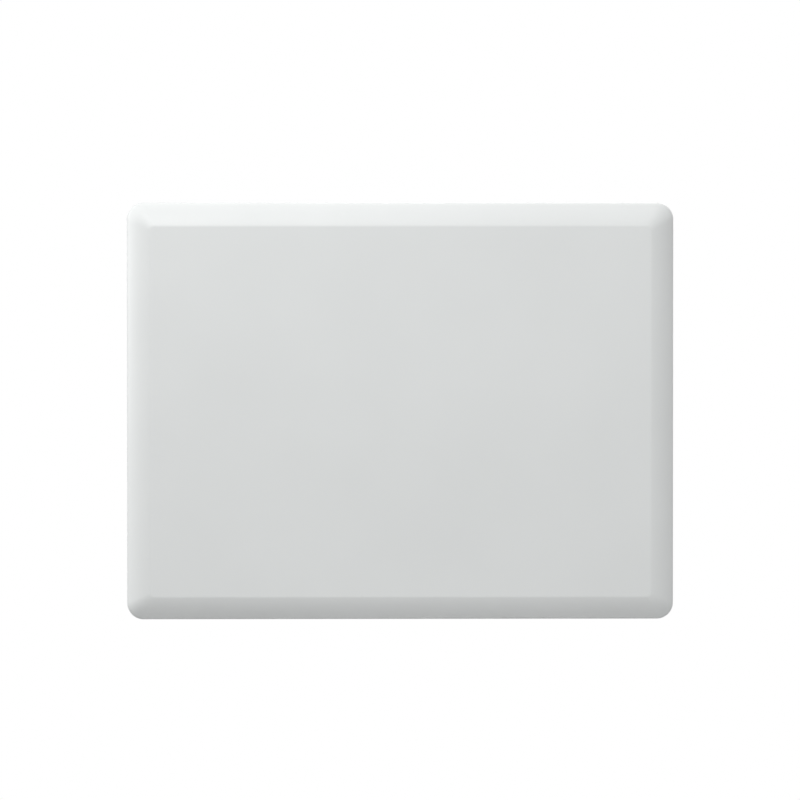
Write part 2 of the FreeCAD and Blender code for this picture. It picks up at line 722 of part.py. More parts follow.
def pillar_screws():
    """One kind of screw holds the boards, the reflector and the patches to their pillars."""
    screws = [screw(x, z, reader_front, pillar_screw_length) for x, z in board_pillar_places()]
    power_front = power_rear + board_thickness
    screws += [screw(x, z, power_front, pillar_screw_length) for x, z in power_pillar_places()]
    screws += [screw(x, z, reflector_front, pillar_screw_length) for x, z in reflector_pillar_places()]
    screws += [screw(x, z, patch_front, pillar_screw_length) for x, z in patch_places()]
    keep("pillar_screws", *screws)


def shield_can(name, x0, x1, z0, z1, height):
    """A folded steel lid over the radio section."""
    wall = 0.4
    outer = box(x0, x1, reader_front, reader_front + height, z0, z1)
    inner = box(x0 + wall, x1 - wall, reader_front - 1, reader_front + height - wall, z0 + wall, z1 - wall)
    keep(name, cut(outer, inner))


def board_chips():
    """The processor, and all the smaller parts soldered to the boards."""
    keep("processor", box(52, 80, reader_front, reader_front + 2.2, 108, 136))
    reader = [(54, 66, 92, 102), (72, 84, 92, 102), (88, 98, 112, 132), (50, 62, 70, 80), (72, 82, 66, 78),
              (-62, -46, 62, 72), (-88, -78, 60, 74)]
    chips = [box(x0, x1, reader_front, reader_front + 1.4, z0, z1) for x0, x1, z0, z1 in reader]
    chips += [box(x, x + 16, reader_depth - 6, reader_depth, 64, 80) for x in (-60, -36)]
    power_front = power_rear + board_thickness
    chips += [box(x, x + 12, power_front, power_front + 2, z, z + 11) for x, z in ((-150, 52), (-204, 96))]
    chips += [box(x - 3, x + 3, feed_rear - 1.2, feed_rear, z - feed_pin_offset + 9, z - feed_pin_offset + 15)
              for x, z in patch_places()]
    keep("board_chips", *chips)


heat_x0, heat_x1, heat_z0, heat_z1 = -92.0, -28.0, 92.0, 148.0
heat_pitch = 8.0
pad_thickness = 1.5
pad_margin = 6.0


def heat_spreader():
    """A ribbed block that carries the radio amplifier's heat to the chassis."""
    block = box(heat_x0, heat_x1, chassis_inner, reader_depth - pad_thickness, heat_z0, heat_z1)
    groove_rear, groove_front = chassis_inner + 3, reader_depth - pad_thickness - 4
    starts = [heat_x0 + 7 + i * heat_pitch for i in range(7)]
    z0, z1 = heat_z0 - 1, heat_z1 + 1
    grooves = [box(x, x + heat_pitch / 2, groove_rear, groove_front, z0, z1) for x in starts]
    keep("heat_spreader", cut(block, *grooves))
    keep("thermal_pad", box(heat_x0 + pad_margin, heat_x1 - pad_margin, reader_depth - pad_thickness,
                            reader_depth, heat_z0 + pad_margin, heat_z1 - pad_margin))


# ---------------------------------------------------------------- power board
power_x0, power_x1, power_z0, power_z1 = -219.0, -121.0, -21.0, 121.0
power_rear = reader_depth - 6.0


def power_board():
    front = power_rear + board_thickness
    board = box(power_x0, power_x1, power_rear, front, power_z0, power_z1)
    holes = [rod(x, z, screw_hole_radius, power_rear - 1, front + 1) for x, z in power_pillar_places()]
    keep("power_board", cut(board, *holes))
    core = box(-196, -164, front, front + 15, 50, 82)
    bobbin = box(-200, -160, front + 3, front + 12, 56, 76)
    keep("power_transformer", fuse(core, bobbin))
    cans = [(-204, 20, 6.3, 15), (-188, 20, 6.3, 15), (-172, 20, 5.0, 12), (-140, 96, 5.0, 12),
            (-140, 82, 5.0, 12)]
    keep("power_capacitors", *[rod(x, z, r, front, front + h) for x, z, r, h in cans])
    keep("power_inductor", cut(rod(-142, 24, 11, front, front + 9), rod(-142, 24, 4, front - 1, front + 10)))


# ---------------------------------------------------------------- antenna
def patch_places():
    return [(ix * patch_pitch_x, iz * patch_pitch_z / 2) for iz in (1, -1) for ix in (-1, 0, 1)]


def reflector_holes():
    d0, d1 = reflector_depth - 1, reflector_front + 1
    holes = [rod(x, z, screw_hole_radius, d0, d1) for x, z in reflector_pillar_places()]
    holes += [rod(x, z - feed_pin_offset, feed_pin_clear_radius, d0, d1) for x, z in patch_places()]
    return holes


def reflector():
    plate = rounded_slab(reflector_half_width, reflector_half_height, 5, reflector_depth, reflector_front)
    d0, d1 = reflector_depth - 1, reflector_front + 1
    lead_holes = [rod(-lamp_lead_x, sz * (lamp_z - 1.5), lamp_hole_radius, d0, d1) for sz in (-1, 1)]
    keep("reflector", cut(plate, *reflector_holes(), *lead_holes))
    keep("reflector_pillars", *[pillar(x, z, reflector_pillar_radius, reflector_depth)
                                for x, z in reflector_pillar_places()])


def feed_board():
    board = rounded_slab(feed_half_width, feed_half_height, 3, feed_rear, reflector_depth)
    holes = [rod(x, z - feed_pin_offset, feed_pin_radius + running_gap, feed_rear - 1, reflector_depth + 1)
             for x, z in patch_places()]
    keep("feed_board", cut(board, *holes))


def patches():
    half = patch_size / 2
    for n, (x, z) in enumerate(patch_places(), 1):
        corners = [(-half, -half), (half - patch_cut, -half), (half, -half + patch_cut), (half, half),
                   (-half + patch_cut, half), (-half, half - patch_cut), (-half, -half)]
        face = Part.Face(Part.makePolygon([V(x + dx, -patch_rear, z + dz) for dx, dz in corners]))
        sheet = face.extrude(V(0, -patch_sheet, 0))
        keep("patch_antenna_%d" % n, cut(sheet, rod(x, z, screw_hole_radius, patch_rear - 1, patch_front + 1),
                                         rod(x, z - feed_pin_offset, feed_pin_radius + running_gap,
                                             patch_rear - 1, patch_front + 1)))


def patch_fixings():
    posts, pins = [], []
    for x, z in patch_places():
        post = rod(x, z, patch_post_radius, reflector_front, patch_rear)
        posts.append(cut(post, rod(x, z, screw_radius + running_gap, patch_rear - 8, patch_rear + 1)))
        for sx, sz in ((-1, -1), (1, 1)):
            posts.append(rod(x + sx * patch_rest_offset, z + sz * patch_rest_offset, patch_rest_radius,
                             reflector_front, patch_rear))
        pins.append(rod(x, z - feed_pin_offset, feed_pin_radius, feed_rear - 0.5, patch_front + 0.5))
    keep("patch_posts", *posts)
    keep("feed_pins", *pins)


coax_ends = ((-68.0, -92.0), (-24.0, -34.0), (24.0, 34.0), (68.0, 92.0))    # x at the top and below
coax_radius = 1.25
coax_plug_length = 8.0
coax_depth = reader_front + coax_plug_length
coax_top = 162.0
coax_bottom = 116.0
coax_plug_radius = 2.4
coax_plug_flat = 1.9             # where the lead enters the plug


def coax_leads():
    """Four leads from the reader board down to the feed board, with a plug at each end."""
    plugs, leads = [], []
    for x_top, x_low in coax_ends:
        points = [at(x_top, coax_depth, coax_top - coax_plug_flat),
                  at(x_top, coax_depth, coax_top - 11),
                  at((x_top + x_low) / 2, coax_depth, (coax_top + coax_bottom) / 2 + 2),
                  at(x_low, coax_depth, coax_bottom + 13),
                  at(x_low, coax_depth, coax_bottom + coax_plug_flat)]
        if abs(x_top - x_low) < 20:
            points.pop(2)
        leads.append(tube_along(points, coax_radius))
        top_body = rod(x_top, coax_top, coax_plug_radius, reader_front, coax_depth + 2)
        low_body = rod(x_low, coax_bottom, coax_plug_radius, coax_depth - 2, feed_rear)
        flat_top = box(x_top - 4, x_top + 4, coax_depth - 2, coax_depth + 3, coax_top - 4,
                       coax_top - coax_plug_flat)
        flat_low = box(x_low - 4, x_low + 4, coax_depth - 3, coax_depth + 2, coax_bottom + coax_plug_flat,
                       coax_bottom + 4)
        plugs += [cut(top_body, flat_top), cut(low_body, flat_low)]
    keep("coax_leads", *leads)
    keep("coax_plugs", *plugs)


# ---------------------------------------------------------------- alarm lamps
lamp_z = 163.0
lamp_half_width = 188.0
lamp_board = 1.0
lamp_strip_half = 5.0            # half the strip's height
lamp_count = 12
lamp_half = 1.75                 # half the side of one lamp
lamp_height = 1.3
lamp_end = 12.0                  # first and last lamp from the ends
lamp_socket = 8.0                # end of each strip that carries its socket
lamp_lead_x = 210.0              # where its lead passes through the reflector
lamp_hole_radius = 4.0


def alarm_lamps():
    front = reflector_front + lamp_board
    strips, guides = [], []
    for sz in (-1, 1):
        z = sz * lamp_z
        strips.append(box(-lamp_half_width - lamp_socket, lamp_half_width, reflector_front, front,
                          z - lamp_strip_half, z + lamp_strip_half))
        pitch = 2 * (lamp_half_width - lamp_end) / (lamp_count - 1)
        for i in range(lamp_count):
            x = -lamp_half_width + lamp_end + i * pitch
            strips.append(box(x - lamp_half, x + lamp_half, front, front + lamp_height,
                              z - lamp_half, z + lamp_half))
        bar = box(-lamp_half_width + 4, lamp_half_width - 4, front, front + 8, z - 4, z + 4)
        groove = box(-lamp_half_width + 8, lamp_half_width - 8, front - 1, front + 2, z - 2.4, z + 2.4)
        guides.append(cut(bar, groove))
    keep("lamp_strips", *strips)
    keep("light_guides", *guides)


# ---------------------------------------------------------------- loudspeaker
speaker_ear_radius = 5.0
basket_depth = 13.0
basket_sheet = 1.5
basket_window = 16.0
surround_seat = 4.0              # width of flange that the surround is glued to
magnet_radius = 20.0
magnet_plate = 3.0
ferrite_thickness = 6.0
pole_radius = 7.4
pole_gap_radius = 9.6
pole_stand = 2.0                 # pole proud of the front plate
former_radius = 8.8
former_end = chassis_inner + 21.0
cone_radius = 27.5
cone_paper = 0.7


def speaker_screw_places():
    reach = speaker_radius + speaker_ear_radius / 2
    turns = [math.radians(a) for a in (45, 135, 225, 315)]
    return [(speaker_x + reach * math.cos(a), speaker_z + reach * math.sin(a)) for a in turns]


def speaker_rod(radius, d0, d1):
    return rod(speaker_x, speaker_z, radius, d0, d1)


def speaker_cone_solid(r_wide, r_narrow, d_wide, d_narrow):
    return Part.makeCone(r_wide, r_narrow, d_narrow - d_wide, at(speaker_x, d_wide, speaker_z), V(0, -1, 0))


def speaker_frame():
    """A pressed flange and basket, open between its four arms."""
    rear, front = chassis_inner, chassis_inner + speaker_flange
    floor = front + basket_depth
    flange = fuse(speaker_rod(speaker_radius, rear, front),
                  *[rod(x, z, speaker_ear_radius, rear, front) for x, z in speaker_screw_places()])
    top = speaker_z + speaker_radius
    tag = box(speaker_x - 5, speaker_x + 5, rear, front, top - 2, top + 8)
    basket = fuse(speaker_cone_solid(speaker_radius - 1, magnet_radius, front, floor),
                  speaker_rod(magnet_radius, floor, floor + basket_sheet))
    inside = speaker_cone_solid(speaker_radius - 1 - basket_sheet, magnet_radius - basket_sheet, front, floor)
    hollow = [inside,
              speaker_rod(speaker_radius - surround_seat, rear - 1, front + 0.1),
              speaker_rod(pole_gap_radius + 0.4, rear, floor + 2 * basket_sheet)]
    for turn in range(0, 360, 90):
        window = box(speaker_x + magnet_radius + 2, speaker_x + speaker_radius, front + 3, front + 9,
                     speaker_z - basket_window / 2, speaker_z + basket_window / 2)
        window.rotate(V(speaker_x, 0, speaker_z), V(0, 1, 0), turn)
        hollow.append(window)
    hollow += [rod(x, z, screw_hole_radius, rear - 1, front + 1) for x, z in speaker_screw_places()]
    keep("speaker_frame", cut(fuse(flange, basket, tag), *hollow))


def speaker_motor():
    """Front plate, ferrite ring, end plate and pole, with the ring gap that the coil moves in."""
    back = chassis_inner + speaker_flange + basket_depth + basket_sheet
    ferrite_from, ferrite_to = back + magnet_plate, back + magnet_plate + ferrite_thickness
    rings = fuse(speaker_rod(magnet_radius - 3, back, ferrite_from),
                 speaker_rod(magnet_radius, ferrite_from, ferrite_to),
                 speaker_rod(magnet_radius - 3, ferrite_to, ferrite_to + 2))
    rings = cut(rings, speaker_rod(pole_gap_radius, back - 1, ferrite_to - 1))
    pole = speaker_rod(pole_radius, back - pole_stand, ferrite_to)
    keep("speaker_magnet", fuse(rings, pole))


def speaker_cone():
    """Cone, dust cap and coil former, and the surround between the cone and the frame."""
    wide, narrow = chassis_inner + 1.6, chassis_inner + 13.0
    outer = speaker_cone_solid(cone_radius, former_radius, wide, narrow)
    inner = speaker_cone_solid(cone_radius - cone_paper, former_radius - cone_paper, wide, narrow)
    former = cut(speaker_rod(former_radius, narrow, former_end),
                 speaker_rod(former_radius - 1, narrow - 1, former_end + 1))
    cap = speaker_rod(former_radius, narrow - 0.4, narrow + 0.3)
    keep("speaker_cone", fuse(cut(outer, inner), cap, former))
    keep("speaker_surround", cut(speaker_rod(speaker_radius - surround_seat, wide + 0.1, wide + cone_paper),
                                 speaker_rod(cone_radius + 0.1, wide - 1, wide + 2)))


# ---------------------------------------------------------------- leads held inside
lead_radius = 1.2
lamp_lead_radius = 0.8
lead_socket = 8.0                # side of the square sockets that the leads plug into
lead_socket_height = 7.0
clip_length = 5.0
clip_wall = 1.5
power_socket_x, power_socket_z = -136.0, 38.0
reader_power_x, reader_power_z = -104.0, 70.0
reader_speaker_x, reader_speaker_z = 90.0, 76.0
driver_x = -165.0
driver_top_z, driver_low_z = 111.0, -19.0


def lead_socket_at(x, z, board_front):
    return box(x, x + lead_socket, board_front, board_front + lead_socket_height, z, z + lead_socket)


def lead_clip(start, end, radius):
    """A stick-on saddle round the middle of a lead's straight run along the chassis floor."""
    middle = (start + end) / 2
    run = (end - start).normalize()
    half = radius + clip_wall
    height = -middle.y - chassis_inner + half
    block = box(middle.x - half, middle.x + half, chassis_inner, chassis_inner + height,
                middle.z - clip_length / 2, middle.z + clip_length / 2)
    block.rotate(middle, V(0, 1, 0), math.degrees(math.atan2(run.x, run.z)))
    bore = Part.makeCylinder(radius + fit_gap / 2, 4 * clip_length, middle - run * 2 * clip_length, run)
    return cut(block, bore)


def inner_leads():
    """Twin leads from board to board, each held by its two sockets and by clips on the chassis."""
    half = lead_socket / 2
    power_front = power_rear + board_thickness
    low, high = power_front + 4.5, reader_front + 5.0
    floor, lamp_floor = chassis_inner + lead_radius + fit_gap, chassis_inner + lamp_lead_radius + fit_gap

    print("power lead")
    start_x, start_z = power_socket_x + lead_socket, power_socket_z + half
    end_x = reader_power_x + half
    route = [at(start_x, low, start_z), at(start_x + 10, low, start_z),
             at(start_x + 19, low + 5, start_z + 5), at(end_x, high, start_z + 15),
             at(end_x, high, reader_power_z)]
    keep("power_lead", tube_along(route, lead_radius))

    print("speaker lead")
    tag = chassis_inner + speaker_flange + 3
    start_z = speaker_z + speaker_radius + 7
    end_x, end_z = reader_speaker_x + lead_socket, reader_speaker_z + half
    clip_from, clip_to = at(158, floor, -16), at(149, floor, 8)
    route = [at(speaker_x, tag, start_z), at(speaker_x, tag, start_z + 14), clip_from, clip_to,
             at(138, floor + 1, 31), at(128, floor + 6, 52), at(121, floor + 14, 69),
             at(end_x + 14, high, end_z), at(end_x, high, end_z)]
    keep("speaker_lead", tube_along(route, lead_radius))
    clips = [lead_clip(clip_from, clip_to, lead_radius)]

    print("lamp leads")
    start_x = -lamp_half_width - lamp_socket
    loop_x = -lamp_lead_x
    end_x = driver_x + half
    out = reflector_front + lamp_board + 3.5
    upper = [at(start_x, out, lamp_z), at(loop_x + 5.5, out, lamp_z), at(loop_x, out - 5.5, lamp_z - 1),
             at(loop_x, out - 13, lamp_z - 6), at(loop_x + 8.5, 38.5, lamp_z - 16), at(-178, 34.5, 136),
             at(end_x, low, 131), at(end_x, low, driver_top_z + lead_socket)]
    clip_from, clip_to = at(-162, lamp_floor, -92), at(-160, lamp_floor, -68)
    lower = [at(start_x, out, -lamp_z), at(loop_x + 5.5, out, -lamp_z), at(loop_x, out - 5.5, 1 - lamp_z),
             at(loop_x, out - 13, 6 - lamp_z), at(-201, 36, -146), at(-186, 27, -134), at(-171, 20, -115),
             clip_from, clip_to, at(end_x, 24, -50), at(end_x, low, -35), at(end_x, low, driver_low_z)]
    keep("lamp_leads", tube_along(upper, lamp_lead_radius), tube_along(lower, lamp_lead_radius))
    clips.append(lead_clip(clip_from, clip_to, lamp_lead_radius))
    keep("lead_clips", *clips)

    sockets = [lead_socket_at(power_socket_x, power_socket_z, power_front),
               lead_socket_at(reader_power_x, reader_power_z, reader_front),
               lead_socket_at(reader_speaker_x, reader_speaker_z, reader_front),
               lead_socket_at(driver_x, driver_top_z, power_front),
               lead_socket_at(driver_x, driver_low_z, power_front),
               box(speaker_x - half, speaker_x + half, tag - 3, tag + 3, start_z - 6, start_z)]
    sockets += [box(start_x, start_x + lamp_socket, out - 3.5, out + 1.5, sz * lamp_z - 4, sz * lamp_z + 4)
                for sz in (-1, 1)]
    keep("lead_sockets", *sockets)


def build():
    front_cover()
    cover_gasket()
    cover_screws()
    chassis()
    hinge_lugs()
    earth_stud()
    rating_plate()
    bracket()
    hinge_pins()
    pin_clips()
    retaining_springs()
    spring_rivets()
    rubber_buffers()
    connector_bay()
    short_screws()
    network_sockets()
    terminal_header()
    terminal_plug()
    reset_switch()
    status_light()
    reader_board()
    board_pillars()
    pillar_screws()
    shield_can("amplifier_shield", -96, -24, 84, 152, 4.6)
    shield_can("receiver_shield", -14, 36, 96, 150, 4.0)
    board_chips()
    heat_spreader()
    power_board()
    reflector()
    feed_board()
    patches()
    patch_fixings()
    coax_leads()
    alarm_lamps()
    speaker_frame()
    speaker_motor()
    speaker_cone()
    inner_leads()
    os.makedirs("parts", exist_ok=True)
    for name, solids in made.items():
        singles = [s for shape in solids for s in shape.Solids]
        shape = singles[0] if len(singles) == 1 else Part.makeCompound(singles)
        shape.exportStep("parts/%s.step" % name)
        fault = "" if all(s.isValid() and s.isClosed() for s in singles) else "NOT VALID"
        print("%-20s %3d solids %11.1f mm3 %s" % (name, len(singles), shape.Volume, fault))
    print(len(made), "nodes")


build()
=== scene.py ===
import math

import bpy
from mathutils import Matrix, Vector


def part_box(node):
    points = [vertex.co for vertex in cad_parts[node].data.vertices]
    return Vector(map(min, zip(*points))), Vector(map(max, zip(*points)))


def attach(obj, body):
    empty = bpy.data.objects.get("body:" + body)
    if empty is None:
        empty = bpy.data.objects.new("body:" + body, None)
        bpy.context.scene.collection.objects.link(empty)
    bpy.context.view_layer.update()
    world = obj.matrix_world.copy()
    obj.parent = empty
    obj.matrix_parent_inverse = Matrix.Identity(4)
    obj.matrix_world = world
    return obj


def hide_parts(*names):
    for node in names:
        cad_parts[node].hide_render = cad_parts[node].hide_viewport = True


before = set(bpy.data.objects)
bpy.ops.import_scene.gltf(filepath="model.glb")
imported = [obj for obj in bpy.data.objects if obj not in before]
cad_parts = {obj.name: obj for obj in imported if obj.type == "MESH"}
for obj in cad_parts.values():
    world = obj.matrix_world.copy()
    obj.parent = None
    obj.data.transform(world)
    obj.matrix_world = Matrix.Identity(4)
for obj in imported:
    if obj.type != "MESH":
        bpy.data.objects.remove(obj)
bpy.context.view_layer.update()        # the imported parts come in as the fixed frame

scene = bpy.context.scene
mm = 0.001
print("frame loaded")


def dropSelection():
    bpy.ops.object.select_all(action="DESELECT")


def takePiece(name):  # the fresh primitive gets its name, its place goes into its mesh
    piece = bpy.context.active_object
    piece.name = name
    piece.data.name = name
    bpy.ops.object.transform_apply(location=True, rotation=True, scale=True)
    return piece


def block(name, low, high):
    low, high = Vector(low), Vector(high)
    bpy.ops.mesh.primitive_cube_add(size=1, location=(low + high) / 2)
    bpy.ops.transform.resize(value=high - low)
    return takePiece(name)


alongY = (math.pi / 2, 0, 0)         # the turn that lays a primitive's Z along Y


def rod(name, centre, radius, length, sides):
    bpy.ops.mesh.primitive_cylinder_add(vertices=sides, radius=radius, depth=length,
                                        location=centre, rotation=alongY)
    return takePiece(name)


def pick(piece, kind, test):  # goes to edit mode with just these corners, edges or faces selected
    if piece.mode != "OBJECT":
        bpy.ops.object.mode_set(mode="OBJECT")
    mesh = piece.data
    for part in (mesh.vertices, mesh.edges, mesh.polygons):
        part.foreach_set("select", [False] * len(part))
    if kind == "corners":
        for corner in mesh.vertices:
            corner.select = test(corner.co)
    elif kind == "edges":
        for edge in mesh.edges:
            first, second = edge.vertices
            edge.select = test(mesh.vertices[first].co, mesh.vertices[second].co)
    else:
        for face in mesh.polygons:
            face.select = test(face.center, face.normal)
    kinds = ("corners", "edges", "faces")
    bpy.context.tool_settings.mesh_select_mode = [kind == each for each in kinds]
    bpy.ops.object.mode_set(mode="EDIT")


def leaveEdit():
    bpy.ops.object.mode_set(mode="OBJECT")


def chooseOnly(*pieces):  # the first one is the active one
    dropSelection()
    for piece in pieces:
        piece.select_set(True)
    bpy.context.view_layer.objects.active = pieces[0]


def joinPieces(pieces, name):
    chooseOnly(*pieces)
    if len(pieces) > 1:
        bpy.ops.object.join()
    joined = bpy.context.active_object
    joined.name = name
    joined.data.name = name
    return joined


def copyTo(piece, steps, name):  # the model at each step from where it stands, then all as one piece
    copies = []
    for step in steps:
        chooseOnly(piece)
        bpy.ops.object.duplicate(linked=False)
        bpy.ops.transform.translate(value=step)
        bpy.ops.object.transform_apply(location=True, rotation=True, scale=True)
        copies.append(bpy.context.active_object)
    bpy.data.objects.remove(piece)
    return joinPieces(copies, name)


def roundEdges(piece, width, steps=2, angle=35):
    chooseOnly(piece)
    rounding = piece.modifiers.new("rounding", "BEVEL")
    rounding.width = width
    rounding.segments = steps
    rounding.limit_method = "ANGLE"
    rounding.angle_limit = math.radians(angle)
    bpy.ops.object.modifier_apply(modifier=rounding.name)


def combine(piece, tool, how):  # how is UNION or DIFFERENCE, and the tool is used up
    chooseOnly(piece)
    cut = piece.modifiers.new("combine", "BOOLEAN")
    cut.operation = how
    cut.solver = "EXACT"
    cut.object = tool
    bpy.ops.object.modifier_apply(modifier=cut.name)
    bpy.data.objects.remove(tool)


def smoothPiece(piece, angle):
    chooseOnly(piece)
    bpy.ops.object.shade_smooth_by_angle(angle=math.radians(angle))


def turned(name, centre, profile, steps):  # profile is radius and y, spun round the centre's Y line
    x, z = centre
    dropSelection()
    bpy.ops.mesh.primitive_plane_add(size=mm)
    piece = takePiece(name)
    bpy.ops.object.mode_set(mode="EDIT")
    bpy.ops.mesh.select_all(action="SELECT")
    bpy.ops.mesh.merge(type="CENTER")
    spot = Vector((x + profile[0][0], profile[0][1], z))
    bpy.ops.transform.translate(value=spot)
    for radius, y in profile[1:]:
        target = Vector((x + radius, y, z))
        bpy.ops.mesh.extrude_region_move(TRANSFORM_OT_translate={"value": target - spot})
        spot = target
    bpy.ops.mesh.select_all(action="SELECT")
    bpy.ops.mesh.spin(steps=steps, angle=2 * math.pi, center=(x, 0, z), axis=(0, 1, 0))
    bpy.ops.mesh.select_all(action="SELECT")
    bpy.ops.mesh.remove_doubles(threshold=weld)
    bpy.ops.mesh.normals_make_consistent(inside=False)
    leaveEdit()
    return piece


near = 0.05 * mm         # corners this close lie at the same level
weld = 0.002 * mm        # and corners this close are one
squareOn = 0.9           # a face looks along Y when its normal has this much of Y


def paintFaces(piece, material, test):  # a second finish on the faces that pass
    piece.data.materials.append(material)
    for face in piece.data.polygons:
        if test(face.center, face.normal):
            face.material_index = len(piece.data.materials) - 1


def looseParts(node):  # each separate solid of a node, as lowest corner, highest corner and its points
    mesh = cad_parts[node].data
    leader = {}
    def top(key):
        while leader[key] != key:
            key = leader[key]
        return key
    keys = [tuple(round(c, 6) for c in corner.co) for corner in mesh.vertices]
    for key in keys:
        leader[key] = key
    for face in mesh.polygons:
        ends = [top(keys[i]) for i in face.vertices]
        for end in ends[1:]:
            leader[end] = ends[0]
    groups = {}
    for key in leader:
        groups.setdefault(top(key), []).append(key)
    parts = []
    for points in groups.values():
        low = Vector(min(p[i] for p in points) for i in range(3))
        high = Vector(max(p[i] for p in points) for i in range(3))
        parts.append((low, high, points))
    return sorted(parts, key=lambda part: tuple(round(c, 5) for c in part[0]))


def startFinish(name):
    material = bpy.data.materials.new(name)
    material.use_nodes = True
    nodes, links = material.node_tree.nodes, material.node_tree.links
    return material, nodes, links, nodes["Principled BSDF"]


def addNode(nodes, kind, values=None):
    node = nodes.new("ShaderNode" + kind)
    for socket, value in (values or {}).items():
        node.inputs[socket].default_value = value
    return node


def addNoise(nodes, links, source, scale, detail=3.0, rough=0.5):
    noise = addNode(nodes, "TexNoise", {"Scale": scale, "Detail": detail, "Roughness": rough})
    links.new(source, noise.inputs["Vector"])
    return noise


def addRamp(nodes, links, source, stops):  # stops are (place, colour)
    ramp = nodes.new("ShaderNodeValToRGB")
    steps = ramp.color_ramp.elements
    while len(steps) < len(stops):
        steps.new(0.5)
    for step, (place, tone) in zip(steps, stops):
        step.position = place
        step.color = (*tone, 1)
    links.new(source, ramp.inputs["Fac"])
    return ramp


noiseLow, noiseHigh = 0.3, 0.7       # most of a noise's values lie between these
toneLow, toneHigh = 0.32, 0.68
wornSamples = 4


def addRoughness(nodes, links, source, shader, low, high):
    spread = addNode(nodes, "MapRange", {"From Min": noiseLow, "From Max": noiseHigh,
                                         "To Min": low, "To Max": high})
    links.new(source, spread.inputs["Value"])
    links.new(spread.outputs["Result"], shader.inputs["Roughness"])


def addBump(nodes, links, height, shader, depth, strength, edge=0.0):
    bump = addNode(nodes, "Bump", {"Strength": strength, "Distance": depth})
    links.new(height, bump.inputs["Height"])
    if edge:                             # worn, rounded edges
        worn = addNode(nodes, "Bevel", {"Radius": edge})
        worn.samples = wornSamples
        links.new(worn.outputs["Normal"], bump.inputs["Normal"])
    links.new(bump.outputs["Normal"], shader.inputs["Normal"])


def makeFinish(name, dark, light, rough, metal=0.0, cloud=40, grain=900, stretch=(1, 1, 1),
               depth=0.02, strength=0.5, edge=0.0, clear=0.0, coat=0.0, cells=False):
    material, nodes, links, shader = startFinish(name)
    where = addNode(nodes, "TexCoord")
    drawn = addNode(nodes, "Mapping", {"Scale": stretch})
    links.new(where.outputs["Object"], drawn.inputs["Vector"])
    patches = addNoise(nodes, links, drawn.outputs["Vector"], cloud)
    tone = addRamp(nodes, links, patches.outputs["Fac"], [(toneLow, dark), (toneHigh, light)])
    links.new(tone.outputs["Color"], shader.inputs["Base Color"])
    if cells:
        fine = addNode(nodes, "TexVoronoi", {"Scale": grain})
        links.new(drawn.outputs["Vector"], fine.inputs["Vector"])
        height = fine.outputs["Distance"]
    else:
        height = addNoise(nodes, links, drawn.outputs["Vector"], grain, detail=2.0).outputs["Fac"]
    addRoughness(nodes, links, patches.outputs["Fac"], shader, *rough)
    addBump(nodes, links, height, shader, depth * mm, strength, edge * mm)
    shader.inputs["Metallic"].default_value = metal
    shader.inputs["Transmission Weight"].default_value = clear
    shader.inputs["Coat Weight"].default_value = coat
    return material


